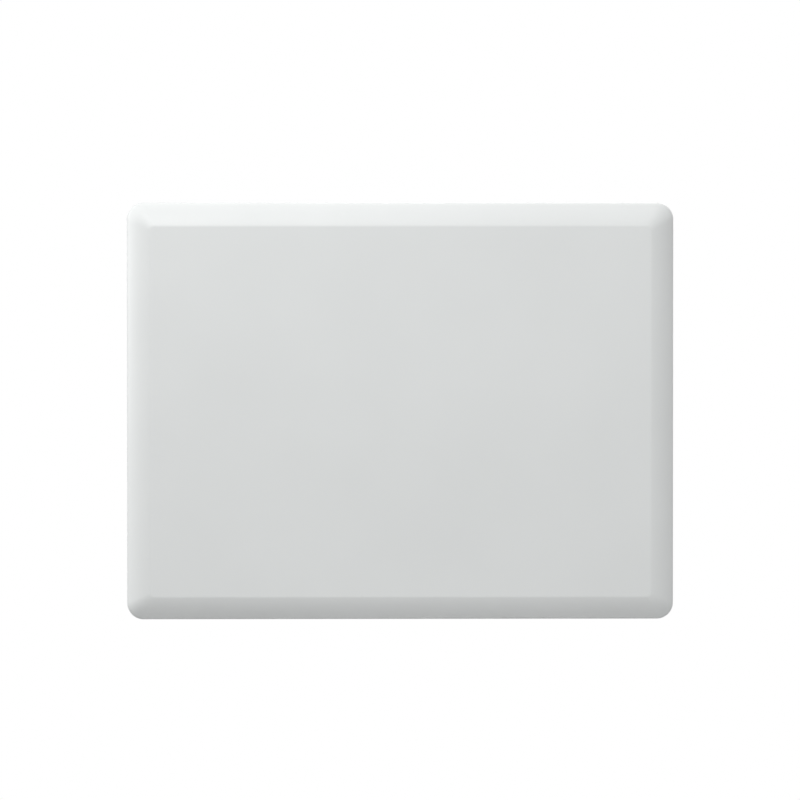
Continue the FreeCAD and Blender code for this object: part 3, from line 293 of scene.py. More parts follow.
# dark and light are the tones, rough the gloss, cloud and grain the scales of the patches and of the
# bumps, stretch draws them out along brushing, depth and edge are in millimetres
finishes = {
    "chassisAluminium": dict(dark=(0.56, 0.57, 0.58), light=(0.62, 0.63, 0.64), rough=(0.34, 0.44),
                             metal=1.0, cloud=420, grain=1500, stretch=(0.03, 1, 1), depth=0.03,
                             edge=0.5),
    "reflectorAluminium": dict(dark=(0.63, 0.64, 0.65), light=(0.69, 0.70, 0.71), rough=(0.27, 0.36),
                               metal=1.0, cloud=350, grain=1200, stretch=(1, 1, 0.03),
                               edge=0.3),
    "heatAluminium": dict(dark=(0.33, 0.34, 0.36), light=(0.42, 0.43, 0.45), rough=(0.45, 0.6),
                          metal=1.0, cloud=60, depth=0.03, edge=0.3),
    "bracketPaint": dict(dark=(0.60, 0.615, 0.605), light=(0.625, 0.64, 0.63), rough=(0.40, 0.5),
                         cloud=14, grain=520, depth=0.10, strength=0.7, edge=0.6, cells=True),
    "zincSteel": dict(dark=(0.48, 0.49, 0.50), light=(0.64, 0.65, 0.66), rough=(0.22, 0.38),
                      metal=1.0, cloud=350, grain=1500, depth=0.01, edge=0.2),
    "springSteel": dict(dark=(0.26, 0.27, 0.29), light=(0.36, 0.37, 0.39), rough=(0.22, 0.36),
                        metal=1.0, cloud=120, stretch=(1, 1, 0.1), depth=0.01, edge=0.2),
    "shieldTin": dict(dark=(0.60, 0.61, 0.60), light=(0.72, 0.73, 0.72), rough=(0.18, 0.32),
                      metal=1.0, cloud=90, grain=500, edge=0.3),
    "brassSheet": dict(dark=(0.60, 0.43, 0.19), light=(0.63, 0.455, 0.205), rough=(0.25, 0.31),
                       metal=1.0, cloud=900, grain=1500, stretch=(0.05, 1, 1), depth=0.008,
                       edge=0.3),
    "blackRubber": dict(dark=(0.012, 0.012, 0.012), light=(0.022, 0.022, 0.022), rough=(0.7, 0.85),
                        cloud=150, grain=1200, depth=0.05, edge=0.3),
    "gasketFoam": dict(dark=(0.012, 0.012, 0.013), light=(0.03, 0.03, 0.032), rough=(0.85, 0.95),
                       cloud=500, grain=1400, depth=0.25, strength=0.9, cells=True),
    "padRubber": dict(dark=(0.22, 0.27, 0.33), light=(0.28, 0.33, 0.40), rough=(0.6, 0.7),
                      cloud=150, depth=0.04),
    "blackPlastic": dict(dark=(0.014, 0.014, 0.015), light=(0.022, 0.022, 0.023), rough=(0.42, 0.55),
                         cloud=60, grain=1300, depth=0.05, strength=0.6, edge=0.3),
    "greenPlastic": dict(dark=(0.012, 0.13, 0.03), light=(0.02, 0.18, 0.045), rough=(0.38, 0.5),
                         cloud=120, grain=1500, depth=0.03, edge=0.2),
    "whiteNylon": dict(dark=(0.66, 0.66, 0.58), light=(0.74, 0.74, 0.67), rough=(0.38, 0.5),
                       cloud=150, grain=1200, depth=0.03, edge=0.2),
    "clearPlastic": dict(dark=(0.84, 0.88, 0.89), light=(0.88, 0.91, 0.92), rough=(0.3, 0.38),
                         cloud=80, depth=0.01, strength=0.15, clear=0.7, edge=0.2),
    "boardWhite": dict(dark=(0.66, 0.67, 0.65), light=(0.74, 0.75, 0.73), rough=(0.3, 0.42),
                       cloud=90, grain=1400, coat=0.3),
    "chipBlack": dict(dark=(0.01, 0.01, 0.011), light=(0.018, 0.018, 0.02), rough=(0.5, 0.62),
                      cloud=200, grain=1800, depth=0.03, edge=0.15),
    "canSleeve": dict(dark=(0.02, 0.022, 0.05), light=(0.03, 0.032, 0.07), rough=(0.3, 0.42),
                      cloud=150, edge=0.3),
    "ferrite": dict(dark=(0.016, 0.016, 0.018), light=(0.035, 0.034, 0.036), rough=(0.5, 0.7),
                    cloud=250, grain=1300, depth=0.05, edge=0.3),
    "coilWinding": dict(dark=(0.22, 0.06, 0.02), light=(0.42, 0.14, 0.05), rough=(0.25, 0.4),
                        metal=0.9, cloud=300, grain=1100, stretch=(1, 0.2, 1), depth=0.12, coat=0.4),
    "conePaper": dict(dark=(0.014, 0.014, 0.015), light=(0.03, 0.03, 0.031), rough=(0.75, 0.9),
                      cloud=400, grain=1100, depth=0.08),
    "speakerSteel": dict(dark=(0.01, 0.01, 0.011), light=(0.018, 0.018, 0.019), rough=(0.3, 0.42),
                         cloud=120, grain=700, depth=0.03, edge=0.3, coat=0.2),
    "leadSheath": dict(dark=(0.014, 0.014, 0.016), light=(0.025, 0.025, 0.027), rough=(0.42, 0.55),
                       cloud=200),
    "phosphorYellow": dict(dark=(0.62, 0.42, 0.05), light=(0.74, 0.53, 0.09), rough=(0.3, 0.4),
                           cloud=900, grain=1500, depth=0.01, coat=0.4),
    "contactGold": dict(dark=(0.70, 0.48, 0.16), light=(0.83, 0.60, 0.24), rough=(0.18, 0.28),
                        metal=1.0, cloud=600, grain=1500, depth=0.005),
    "canAluminium": dict(dark=(0.55, 0.56, 0.57), light=(0.66, 0.67, 0.68), rough=(0.25, 0.38),
                         metal=1.0, cloud=250, grain=1500, depth=0.01),
    "tapeYellow": dict(dark=(0.60, 0.42, 0.06), light=(0.68, 0.49, 0.09), rough=(0.25, 0.38),
                       cloud=90, grain=700, stretch=(0.1, 1, 1), depth=0.03, coat=0.3),
}
finish = {name: makeFinish(name, **values) for name, values in finishes.items()}


coverFinish = {
    "dark": (0.755, 0.772, 0.768),   # barely different tones, so the face is never quite flat
    "light": (0.775, 0.792, 0.788),
    "cloudScale": 9,
    "textureScale": 1500,            # fine spark texture of the mould
    "textureDepth": 0.02 * mm,
    "textureStrength": 0.25,
    "waveScale": 14,                 # faint flow marks
    "rough": (0.44, 0.5),
    "lightBend": 1.49,
}


def makeCoverFinish(values):
    material, nodes, links, shader = startFinish("satinWhiteCover")
    where = addNode(nodes, "TexCoord")
    clouds = addNoise(nodes, links, where.outputs["Object"], values["cloudScale"], detail=2.0)
    tone = addRamp(nodes, links, clouds.outputs["Fac"],
                   [(noiseLow, values["dark"]), (noiseHigh, values["light"])])
    links.new(tone.outputs["Color"], shader.inputs["Base Color"])
    flow = addNoise(nodes, links, where.outputs["Object"], values["waveScale"])
    addRoughness(nodes, links, flow.outputs["Fac"], shader, *values["rough"])
    spark = addNoise(nodes, links, where.outputs["Object"], values["textureScale"], rough=0.6)
    addBump(nodes, links, spark.outputs["Fac"], shader, values["textureDepth"],
            values["textureStrength"])
    shader.inputs["IOR"].default_value = values["lightBend"]
    return material


finish["whiteCover"] = makeCoverFinish(coverFinish)

boardFinish = {
    "laminate": (0.006, 0.075, 0.03),    # resist over bare laminate
    "copper": (0.014, 0.15, 0.06),       # resist over copper
    "traceScale": 260,
    "traceLength": 4.6,
    "traceRow": 0.34,
    "traceGap": 0.09,
    "traceShift": 0.37,
    "traceDepth": 0.02 * mm,
    "traceStrength": 0.4,
    "zoneScale": 45,                     # patches where the traces run the other way
    "zoneEdge": (0.49, 0.51),
    "weaveScale": 900,
    "rough": (0.26, 0.36),
    "varnish": 0.3,
}


def makeBoardFinish(values):
    material, nodes, links, shader = startFinish("boardGreen")
    where = addNode(nodes, "TexCoord")
    copper, laminate = (*values["copper"], 1), (*values["laminate"], 1)
    layers = []
    for turn in (0, math.pi / 2):   # traces are drawn on the texture's X and Y: the board's X and Z
        laid = addNode(nodes, "Mapping", {"Rotation": (math.pi / 2, 0, turn)})
        links.new(where.outputs["Object"], laid.inputs["Vector"])
        traces = addNode(nodes, "TexBrick", {
            "Scale": values["traceScale"], "Mortar Size": values["traceGap"],
            "Brick Width": values["traceLength"], "Row Height": values["traceRow"],
            "Color1": copper, "Color2": copper, "Mortar": laminate})
        traces.offset = values["traceShift"]
        links.new(laid.outputs["Vector"], traces.inputs["Vector"])
        layers.append(traces)
    zones = addNoise(nodes, links, where.outputs["Object"], values["zoneScale"], detail=0.0)
    gate = addRamp(nodes, links, zones.outputs["Fac"],
                   list(zip(values["zoneEdge"], ((0, 0, 0), (1, 1, 1)))))
    mixed = nodes.new("ShaderNodeMix")
    mixed.data_type = "RGBA"
    links.new(gate.outputs["Color"], mixed.inputs["Factor"])
    links.new(layers[0].outputs["Color"], mixed.inputs["A"])
    links.new(layers[1].outputs["Color"], mixed.inputs["B"])
    links.new(mixed.outputs["Result"], shader.inputs["Base Color"])
    weave = addNoise(nodes, links, where.outputs["Object"], values["weaveScale"], detail=2.0)
    addRoughness(nodes, links, weave.outputs["Fac"], shader, *values["rough"])
    addBump(nodes, links, layers[0].outputs["Fac"], shader, values["traceDepth"],
            values["traceStrength"])
    shader.inputs["Coat Weight"].default_value = values["varnish"]
    return material


finish["boardGreen"] = makeBoardFinish(boardFinish)

labelFinish = {
    "film": (0.60, 0.60, 0.59),
    "rule": (0.10, 0.10, 0.11),
    "cell": (32 * mm, 8 * mm),
    "line": 0.3 * mm,
    "paperScale": 700,
    "paperDepth": 0.01 * mm,
    "paperStrength": 0.4,
    "rough": (0.32, 0.44),
}


def makeLabelFinish(values):  # a blank plate with only a ruled table on it
    material, nodes, links, shader = startFinish("ruledLabel")
    where = addNode(nodes, "TexCoord")
    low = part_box("rating_plate")[0]
    laid = addNode(nodes, "Mapping", {"Rotation": (math.pi / 2, 0, 0), "Location": (-low.x, low.z, 0)})
    links.new(where.outputs["Object"], laid.inputs["Vector"])
    film, rule = (*values["film"], 1), (*values["rule"], 1)
    perMetre = 100                    # the texture's own scale
    table = addNode(nodes, "TexBrick", {
        "Scale": perMetre, "Brick Width": values["cell"][0] * perMetre,
        "Row Height": values["cell"][1] * perMetre, "Mortar Size": values["line"] / 2 * perMetre,
        "Color1": film, "Color2": film, "Mortar": rule})
    table.offset = 0
    links.new(laid.outputs["Vector"], table.inputs["Vector"])
    links.new(table.outputs["Color"], shader.inputs["Base Color"])
    paper = addNoise(nodes, links, where.outputs["Object"], values["paperScale"], detail=2.0)
    addRoughness(nodes, links, paper.outputs["Fac"], shader, *values["rough"])
    addBump(nodes, links, paper.outputs["Fac"], shader, values["paperDepth"],
            values["paperStrength"])
    return material


finish["labelPaper"] = makeLabelFinish(labelFinish)
print("finishes mixed")


def slotFinish(slot):  # the slot chassis_aluminium is finished in chassisAluminium
    first, *others = slot.split("_")
    return finish[first + "".join(word.capitalize() for word in others)]


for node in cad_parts.values():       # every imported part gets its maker's finish
    for place in node.material_slots:
        place.material = slotFinish(place.material.name)


# finish, body and what the piece stands for; a painted piece keeps its own finishes
def deliver(piece, body, slot, nodes=(), material=None, painted=False, smooth=35):
    if smooth:
        smoothPiece(piece, smooth)
    if not painted:
        piece.data.materials.clear()
        piece.data.materials.append(material or slotFinish(slot))
    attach(piece, body)
    if nodes:
        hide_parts(*nodes)


coverLow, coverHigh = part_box("front_cover")
coverShape = {
    "wall": 3 * mm,
    "cornerRadius": 15 * mm,       # seen from the front, at the side walls
    "creaseCorner": 4 * mm,        # seen from the front, where the face starts
    "creaseRadius": 6 * mm,
    "creaseAngle": 18,
    "shoulderRadius": 39.5 * mm,
    "shoulderAngle": 50,
    "edgeRadius": 8.5 * mm,
    "rimEase": 0.4 * mm,
    "cornerSteps": 20,
    "leastCorner": 0.5 * mm,
    "sideRings": (8 * mm, 24 * mm, 40 * mm),
    "outerStep": 2,                # degrees of the section between two rings
    "innerStep": 4,
    "support": 1.5 * mm,           # from the crease to the face's own ring
    "ringStart": -1,               # while they are joined the rings stand clear of their depths
    "ringGap": 5 * mm,
}


def bandPoint(angle, offset):  # inset and depth on the rounded band, the wall's offset inwards
    s = coverShape
    first, second = math.radians(s["creaseAngle"]), math.radians(s["shoulderAngle"])
    big, small = s["shoulderRadius"], s["creaseRadius"]
    bandWidth = (s["edgeRadius"] + (big - s["edgeRadius"]) * math.sin(second)
                 - (big - small) * math.sin(first))
    inset, depth, radius = bandWidth, -coverLow.y - small, small
    if angle > s["creaseAngle"]:
        inset += (big - radius) * math.sin(first)
        depth -= (big - radius) * math.cos(first)
        radius = big
    if angle > s["shoulderAngle"]:
        inset -= (radius - s["edgeRadius"]) * math.sin(second)
        depth += (radius - s["edgeRadius"]) * math.cos(second)
        radius = s["edgeRadius"]
    turn = math.radians(angle)
    reach = radius - offset
    return inset - reach * math.sin(turn), depth + reach * math.cos(turn), bandWidth


def skinRings(offset, step):  # from the rim to the face: inset, depth, corner radius
    s = coverShape
    rim = -coverHigh.y
    rings = [(offset + s["rimEase"] * (1 if offset == 0 else -1), rim), (offset, rim + s["rimEase"])]
    rings += [(offset, rim + along) for along in s["sideRings"]]
    angles = list(range(90, 0, -step)) + [0]
    if s["creaseAngle"] not in angles:
        angles.append(s["creaseAngle"])
    for angle in sorted(angles, reverse=True):
        rings.append(bandPoint(angle, offset)[:2])
    rings.append((rings[-1][0] + s["support"], rings[-1][1]))
    bandWidth = bandPoint(0, 0)[2]
    sized = []
    for inset, depth in rings:
        share = max(0, inset - offset) / (bandWidth - offset)
        corner = s["cornerRadius"] - (s["cornerRadius"] - s["creaseCorner"]) * min(1, share) - offset
        sized.append((inset, depth, max(corner, s["leastCorner"])))
    return sized


def makeCover():
    s = coverShape
    rings = skinRings(s["wall"], s["innerStep"])[::-1] + skinRings(0, s["outerStep"])
    stacked = [s["ringStart"] - s["ringGap"] * number for number in range(len(rings))]
    dropSelection()
    bpy.ops.mesh.primitive_plane_add(size=mm)
    shell = takePiece("front_cover_shell")
    bpy.ops.object.mode_set(mode="EDIT")
    bpy.ops.mesh.delete(type="VERT")
    bpy.context.tool_settings.mesh_select_mode = (True, False, False)
    for (inset, depth, corner), level in zip(rings, stacked):
        bpy.ops.mesh.select_all(action="DESELECT")
        bpy.ops.mesh.primitive_plane_add(size=2, location=(0, level, 0), rotation=alongY)
        bpy.ops.transform.resize(value=(coverHigh.x - inset, 1, coverHigh.z - inset),
                                 center_override=(0, level, 0))
        bpy.ops.mesh.bevel(offset=corner, offset_type="OFFSET", segments=s["cornerSteps"],
                           profile=0.5, affect="VERTICES")
        bpy.ops.mesh.delete(type="ONLY_FACE")
    for level, following in zip(stacked, stacked[1:]):
        pick(shell, "edges", lambda a, b: abs(a.y - b.y) < mm
             and min(abs(a.y - level), abs(a.y - following)) < mm)
        bpy.ops.mesh.bridge_edge_loops()
    for level in (stacked[0], stacked[-1]):       # the face, inside and outside
        pick(shell, "edges", lambda a, b: abs(a.y - level) < mm and abs(b.y - level) < mm)
        bpy.ops.mesh.fill()
        bpy.ops.mesh.dissolve_faces()
    for (inset, depth, corner), level in zip(rings, stacked):
        pick(shell, "corners", lambda spot: abs(spot.y - level) < mm)
        bpy.ops.transform.translate(value=(0, -depth - level, 0))
    bpy.ops.mesh.select_all(action="SELECT")
    bpy.ops.mesh.normals_make_consistent(inside=False)
    leaveEdit()
    return shell


shell = makeCover()
print("cover shell raised", len(shell.data.vertices), len(shell.data.polygons))

bossShape = {
    "radius": 4 * mm,
    "sides": 40,
    "bore": 1.55 * mm,
    "boreSides": 24,
    "rear": 17 * mm,
    "boreStart": 10 * mm,
    "boreEnd": 70 * mm,
    "rib": 2 * mm,
    "ribRear": 29.3 * mm,
    "ribEdge": 1.5 * mm,         # it ends half way through the side wall
    "topSlope": 28.7,            # the end follows the band and stays inside its wall
    "topDepth": 78.5 * mm,
    "ribSlope": 40,
    "ribDepth": 78.3 * mm,
    "ribInset": 12 * mm,
}


def sliceTop(piece, spot, slope, side):  # cuts off what stands in front of a sloping plane
    turn = math.radians(slope)
    chooseOnly(piece)
    bpy.ops.object.mode_set(mode="EDIT")
    bpy.ops.mesh.select_all(action="SELECT")
    bpy.ops.mesh.bisect(plane_co=spot, plane_no=(side * math.sin(turn), -math.cos(turn), 0),
                        use_fill=True, clear_outer=True)
    leaveEdit()


def addBosses(shell, places):
    b = bossShape
    for x, z in places:
        side = 1 if x > 0 else -1
        boss = rod("boss", (x, (coverLow.y - b["rear"]) / 2, z), b["radius"],
                   -coverLow.y - b["rear"], b["sides"])
        sliceTop(boss, (x, -b["topDepth"], z), b["topSlope"], side)
        edge = side * (coverHigh.x - b["ribEdge"])
        rib = block("rib", (min(x, edge), coverLow.y, z - b["rib"] / 2),
                    (max(x, edge), -b["ribRear"], z + b["rib"] / 2))
        sliceTop(rib, (side * (coverHigh.x - b["ribInset"]), -b["ribDepth"], z), b["ribSlope"], side)
        combine(boss, rib, "UNION")
        combine(shell, boss, "UNION")
    for x, z in places:
        bore = rod("bore", (x, -(b["boreStart"] + b["boreEnd"]) / 2, z), b["bore"],
                   b["boreEnd"] - b["boreStart"], b["boreSides"])
        combine(shell, bore, "DIFFERENCE")


def middleOf(low, high):
    return (low.x + high.x) / 2, (low.z + high.z) / 2


screwPlaces = [middleOf(low, high) for low, high, points in looseParts("cover_screws")]
addBosses(shell, screwPlaces)
deliver(shell, "cover", "white_cover", ["front_cover"], smooth=30)
print("cover bosses joined", len(shell.data.vertices), len(shell.data.polygons))


screwShape = {
    "headRadius": 2.8 * mm,
    "headHeight": 2 * mm,
    "headEase": 0.8 * mm,
    "crownWidth": 0.55,          # the head's flat middle, as a share of its radius
    "crownDrop": 0.06 * mm,
    "easeDrop": 0.1 * mm,
    "easeSteps": 4,
    "neck": 0.6 * mm,
    "sides": 24,
    "shankRadius": 1.5 * mm,
    "threadDepth": 0.18 * mm,
    "threadPitch": 0.9 * mm,
    "tip": 0.5 * mm,
    "recessLength": 3.0 * mm,
    "recessWidth": 0.75 * mm,
    "recessDepth": 1.1 * mm,
    "recessAbove": 0.5 * mm,
}


def makeScrew(length, facing):  # the head's top at y 0, looking along facing, the shank behind it
    s = screwShape
    seat, head, shank = s["headHeight"], s["headRadius"], s["shankRadius"]
    outline = [(0, 0), (head * s["crownWidth"], s["crownDrop"])]
    for part in range(1, s["easeSteps"] + 1):
        turn = part / s["easeSteps"] * math.pi / 2
        outline.append((head - s["headEase"] * (1 - math.sin(turn)),
                        s["headEase"] * (1 - math.cos(turn)) + s["easeDrop"]))
    outline += [(head, seat), (shank, seat)]
    along = seat + s["neck"]
    while along < length - s["tip"] - s["threadPitch"]:
        outline += [(shank, along), (shank - s["threadDepth"], along + s["threadPitch"] / 2)]
        along += s["threadPitch"]
    outline += [(shank, length - s["tip"]), (shank - s["tip"], length), (0, length)]
    screw = turned("screw", (0, 0), [(radius, -facing * y) for radius, y in outline], s["sides"])
    deep = sorted((facing * s["recessAbove"], -facing * s["recessDepth"]))
    for long, wide in ((s["recessLength"], s["recessWidth"]), (s["recessWidth"], s["recessLength"])):
        slot = block("slot", (-long / 2, deep[0], -wide / 2), (long / 2, deep[1], wide / 2))
        combine(screw, slot, "DIFFERENCE")
    return screw


def fitScrews(name, node):  # one screw for each solid of the node, head end as packed
    groups = {}
    for low, high, points in looseParts(node):
        centre = (low + high) / 2
        def reach(y):
            return max(math.hypot(p[0] - centre.x, p[2] - centre.z) for p in points
                       if abs(p[1] - y) < near)
        facing = 1 if reach(high.y) > reach(low.y) else -1
        spot = (centre.x, high.y if facing > 0 else low.y, centre.z)
        length = round((high.y - low.y) / mm, 2)
        groups.setdefault((facing, length), []).append(spot)
    sets = []
    for (facing, length), spots in sorted(groups.items()):
        sets.append(copyTo(makeScrew(length * mm, facing), spots, "screwSet"))
    screws = joinPieces(sets, name)
    deliver(screws, "unit", "zinc_steel", [node])
    print(name, "fitted", sum(len(spots) for spots in groups.values()))


for kind in ("cover", "short", "pillar"):
    fitScrews(kind + "_screw_set", kind + "_screws")


roundParts = {   # each node's piece name, body, slot, rounding and steps round
    "spring_rivets": ("spring_rivet_set", "bracket", "zinc_steel", 0.4 * mm, 28),
    "rubber_buffers": ("buffer_pair", "bracket", "black_rubber", 0.9 * mm, 48),
    "feed_pins": ("feed_pin_set", "unit", "brass_sheet", 0.15 * mm, 20),
}


onAxis = 0.2 * mm        # corners within this radius are the axis's own


def readOutline(low, high, points):  # the radii at each level of a solid of revolution, end to end
    x, z = middleOf(low, high)
    levels = {}
    for p in points:
        radius = round(math.hypot(p[0] - x, p[2] - z) / mm, 1) * mm
        if radius > onAxis:
            levels.setdefault(round(p[1], 5), set()).add(radius)
    outline = [(0, low.y)]
    for y in sorted(levels):
        last = outline[-1][0]
        if last:
            inOrder = sorted(levels[y], key=lambda radius: abs(radius - last))
        else:
            inOrder = [max(levels[y])]
        outline += [(radius, y) for radius in inOrder]
    return (x, z), outline + [(0, high.y)]


def setRoundParts(node, name, body, slot, ease, steps):
    made = []
    for low, high, points in looseParts(node):
        centre, outline = readOutline(low, high, points)
        part = turned("part", centre, outline, steps)
        roundEdges(part, ease, steps=3, angle=50)
        made.append(part)
    parts = joinPieces(made, name)
    deliver(parts, body, slot, [node])


for node, values in roundParts.items():
    setRoundParts(node, *values)

solderJoint = {"radius": 1.9 * mm, "height": 0.45 * mm, "below": 0.3 * mm, "hollow": 1.6,
               "rings": 6, "steps": 24}


def addSolder():  # a dome of solder round each feed pin, on the patch
    s = solderJoint
    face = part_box("patch_antenna_1")[0].y
    made = []
    for low, high, points in looseParts("feed_pins"):
        dome = [(0, face + s["below"]), (s["radius"], face + s["below"])]
        for part in range(s["rings"] + 1):
            turn = part / s["rings"] * math.pi / 2
            dome.append((s["radius"] * math.cos(turn),
                         face - s["height"] * math.sin(turn) ** s["hollow"]))
        made.append(turned("dome", middleOf(low, high), dome, s["steps"]))
    joints = joinPieces(made, "feed_solder")
    deliver(joints, "unit", "shield_tin", smooth=40)


addSolder()
print("round parts turned")


lampShape = {
    "ease": 0.2 * mm,
    "lip": 0.45 * mm,
    "well": 0.3 * mm,
    "wellTaper": 0.86,
    "boardEase": 0.15 * mm,
    "shortestBoard": 50 * mm,
    "resistor": (2.0 * mm, 0.5 * mm, 1.25 * mm),
    "resistorEase": 0.08 * mm,
    "resistorStep": 9 * mm,
    "resistorCap": 0.3 * mm,
}


def makeLamp(low, high):
    s = lampShape
    lamp = block("lamp", low, high)
    roundEdges(lamp, s["ease"])
    pick(lamp, "faces", lambda spot, facing: facing.y < -squareOn and spot.y < low.y + near)
    bpy.ops.mesh.inset(thickness=s["lip"])
    bpy.ops.mesh.extrude_region_move(TRANSFORM_OT_translate={"value": (0, s["well"], 0)})
    x, z = middleOf(low, high)
    bpy.ops.transform.resize(value=(s["wellTaper"], 1, s["wellTaper"]), center_override=(x, low.y, z))
    leaveEdit()
    lamp.data.materials.append(finish["boardWhite"])
    bottom = low.y + s["well"]
    paintFaces(lamp, finish["phosphorYellow"],
               lambda spot, facing: facing.y < -squareOn and abs(spot.y - bottom) < near)
    return lamp


def makeResistor(x, y, z):
    s = lampShape
    size = Vector(s["resistor"])
    corner = Vector((x - size.x / 2, y - size.y, z - size.z / 2))
    resistor = block("resistor", corner, corner + size)
    roundEdges(resistor, s["resistorEase"])
    resistor.data.materials.append(finish["shieldTin"])
    paintFaces(resistor, finish["chipBlack"],
               lambda spot, facing: abs(spot.x - x) < s["resistorCap"])
    return resistor


def makeLampStrips():
    s = lampShape
    solids = [(low, high) for low, high, points in looseParts("lamp_strips")]
    long = [high.x - low.x > s["shortestBoard"] for low, high in solids]
    lampSpots = [solid for solid, isBoard in zip(solids, long) if not isBoard]
    boards = []
    for (low, high), isBoard in zip(solids, long):
        if isBoard:
            boards.append(block("strip", low, high))
            roundEdges(boards[-1], s["boardEase"])
    first = lampSpots[0]
    steps = [spot[0] - first[0] for spot in lampSpots]
    lampSet = copyTo(makeLamp(*first), steps, "strip_lamps")
    x, z = middleOf(*first)
    resistors = copyTo(makeResistor(x + s["resistorStep"], first[1].y, z), steps, "strip_resistors")
    board = joinPieces(boards, "lamp_strip_boards")
    deliver(board, "unit", "board_white", ["lamp_strips"])
    deliver(lampSet, "unit", "board_white", painted=True)
    deliver(resistors, "unit", "chip_black", painted=True)


makeLampStrips()
print("lamp strips made")


socketShape = {
    "opening": (12.0 * mm, 8.0 * mm),     # wide and high, as the plug sees it
    "offset": 0.6 * mm,                   # the opening sits this much off the middle
    "deep": 12.5 * mm,
    "ease": 0.35 * mm,
    "latch": (4.0 * mm, 1.9 * mm, 0.2 * mm),
    "liner": 0.7 * mm,
    "linerStart": 2.4 * mm,
    "contact": (0.35 * mm, 0.25 * mm, 6.0 * mm),
    "contactStart": (2.2 * mm, 4.5 * mm),  # from the opening's wall and from the mouth
    "contactLean": 1.9 * mm,
    "contacts": 8,
    "pitch": 1.02 * mm,
    "tab": (2.4 * mm, 0.35 * mm, 5.0 * mm),
    "tabStart": 2 * mm,
}


def makeSocket(node, number):
    low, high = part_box(node)
    s = socketShape
    middle = (low + high) / 2
    wide, tall = s["opening"]
    can = block("network_socket_shell_" + number, low, high)
    roundEdges(can, s["ease"], steps=3)
    across = middle.y + s["offset"]
    mouth = (Vector((middle.x - wide / 2, across - tall / 2, low.z - mm)),
             Vector((middle.x + wide / 2, across + tall / 2, low.z + s["deep"])))
    grown = Vector((s["liner"], s["liner"], 0))
    combine(can, block("mouth", mouth[0] - grown, mouth[1] + grown), "DIFFERENCE")
    tabWide, tabThick, tabTall = s["tab"]
    tabLow = low.z + s["tabStart"]
    for edge in (low.x, high.x):           # spring tabs pressed out of the shell's sides
        tab = block("tab", (edge - tabThick / 2, middle.y - tabWide / 2, tabLow),
                    (edge + tabThick / 2, middle.y + tabWide / 2, tabLow + tabTall))
        combine(can, tab, "DIFFERENCE")
    start = Vector((0, 0, s["linerStart"] - mm))
    liner = block("network_socket_liner_" + number, mouth[0] - grown + start, mouth[1] + grown)
    combine(liner, block("mouth", mouth[0], mouth[1] - Vector((0, 0, s["liner"]))), "DIFFERENCE")
    latchWide, latchDeep, overlap = s["latch"]
    notch = block("notch", (middle.x - latchWide / 2, mouth[0].y - latchDeep, low.z - mm),
                  (middle.x + latchWide / 2, mouth[0].y + overlap, mouth[1].z - s["liner"]))
    combine(liner, notch, "DIFFERENCE")
    contactSpots = [Vector(((index - (s["contacts"] - 1) / 2) * s["pitch"], 0, 0))
                    for index in range(s["contacts"])]
    size = Vector(s["contact"])
    inwards, along = s["contactStart"]
    corner = Vector((middle.x - size.x / 2, mouth[1].y - inwards, low.z + along))
    contact = block("contact", corner, corner + size)
    pick(contact, "corners", lambda spot: spot.z > corner.z + size.z / 2)   # it leans to the wall
    bpy.ops.transform.translate(value=(0, s["contactLean"], 0))
    leaveEdit()
    contacts = copyTo(contact, contactSpots, "network_contacts_" + number)
    deliver(can, "unit", "shield_tin", [node])
    deliver(liner, "unit", "black_plastic")
    deliver(contacts, "unit", "brass_sheet", material=finish["contactGold"], smooth=0)


makeSocket("network_socket_in", "1")
makeSocket("network_socket_out", "2")
print("network sockets made")


canShape = {
    "crimp": 2.2 * mm,             # the groove's height above the board
    "groove": 0.45 * mm,
    "grooveHalf": 0.5 * mm,
    "footEase": 0.4 * mm,
    "topEase": 0.8 * mm,
    "topSteps": 4,
    "lipWidth": 0.9 * mm,
    "lipSlope": (0.3 * mm, 0.6 * mm),
    "dip": 0.25 * mm,
    "scoreWidth": 0.25 * mm,
    "scoreLength": 1.1,            # as a share of the radius
    "scoreDepth": 0.3 * mm,
    "metalDepth": 0.4 * mm,
    "steps": 40,
}


def makeCapacitors():
    s = canShape
    made = []
    for low, high, points in looseParts("power_capacitors"):
        x, z = middleOf(low, high)
        radius = (high.x - low.x) / 2
        foot, top = high.y, low.y
        groove = foot - s["crimp"]
        outline = [(0, foot), (radius - s["footEase"], foot), (radius, foot - s["footEase"]),
                   (radius, groove + s["grooveHalf"]), (radius - s["groove"], groove),
                   (radius, groove - s["grooveHalf"])]
        for part in range(s["topSteps"] + 1):
            turn = part / s["topSteps"] * math.pi / 2
            outline.append((radius - s["topEase"] * (1 - math.cos(turn)),
                            top + s["topEase"] * (1 - math.sin(turn))))
        lip, floor = radius - s["lipWidth"], top + s["dip"]
        outline += [(lip - s["lipSlope"][0], top), (lip - s["lipSlope"][1], floor), (0, floor)]
        can = turned("can", (x, z), outline, s["steps"])
        length = radius * s["scoreLength"]
        for long, wide in ((length, s["scoreWidth"]), (s["scoreWidth"], length)):
            score = block("score", (x - long / 2, top - mm, z - wide / 2),
                          (x + long / 2, floor + s["scoreDepth"], z + wide / 2))
            combine(can, score, "DIFFERENCE")
        can.data.materials.append(finish["canSleeve"])
        paintFaces(can, finish["canAluminium"],
                   lambda spot, facing: spot.y < floor + s["metalDepth"]
                   and math.hypot(spot.x - x, spot.z - z) < lip)
        made.append(can)
    deliver(joinPieces(made, "power_can_set"), "unit", "can_sleeve", ["power_capacitors"], painted=True)


makeCapacitors()

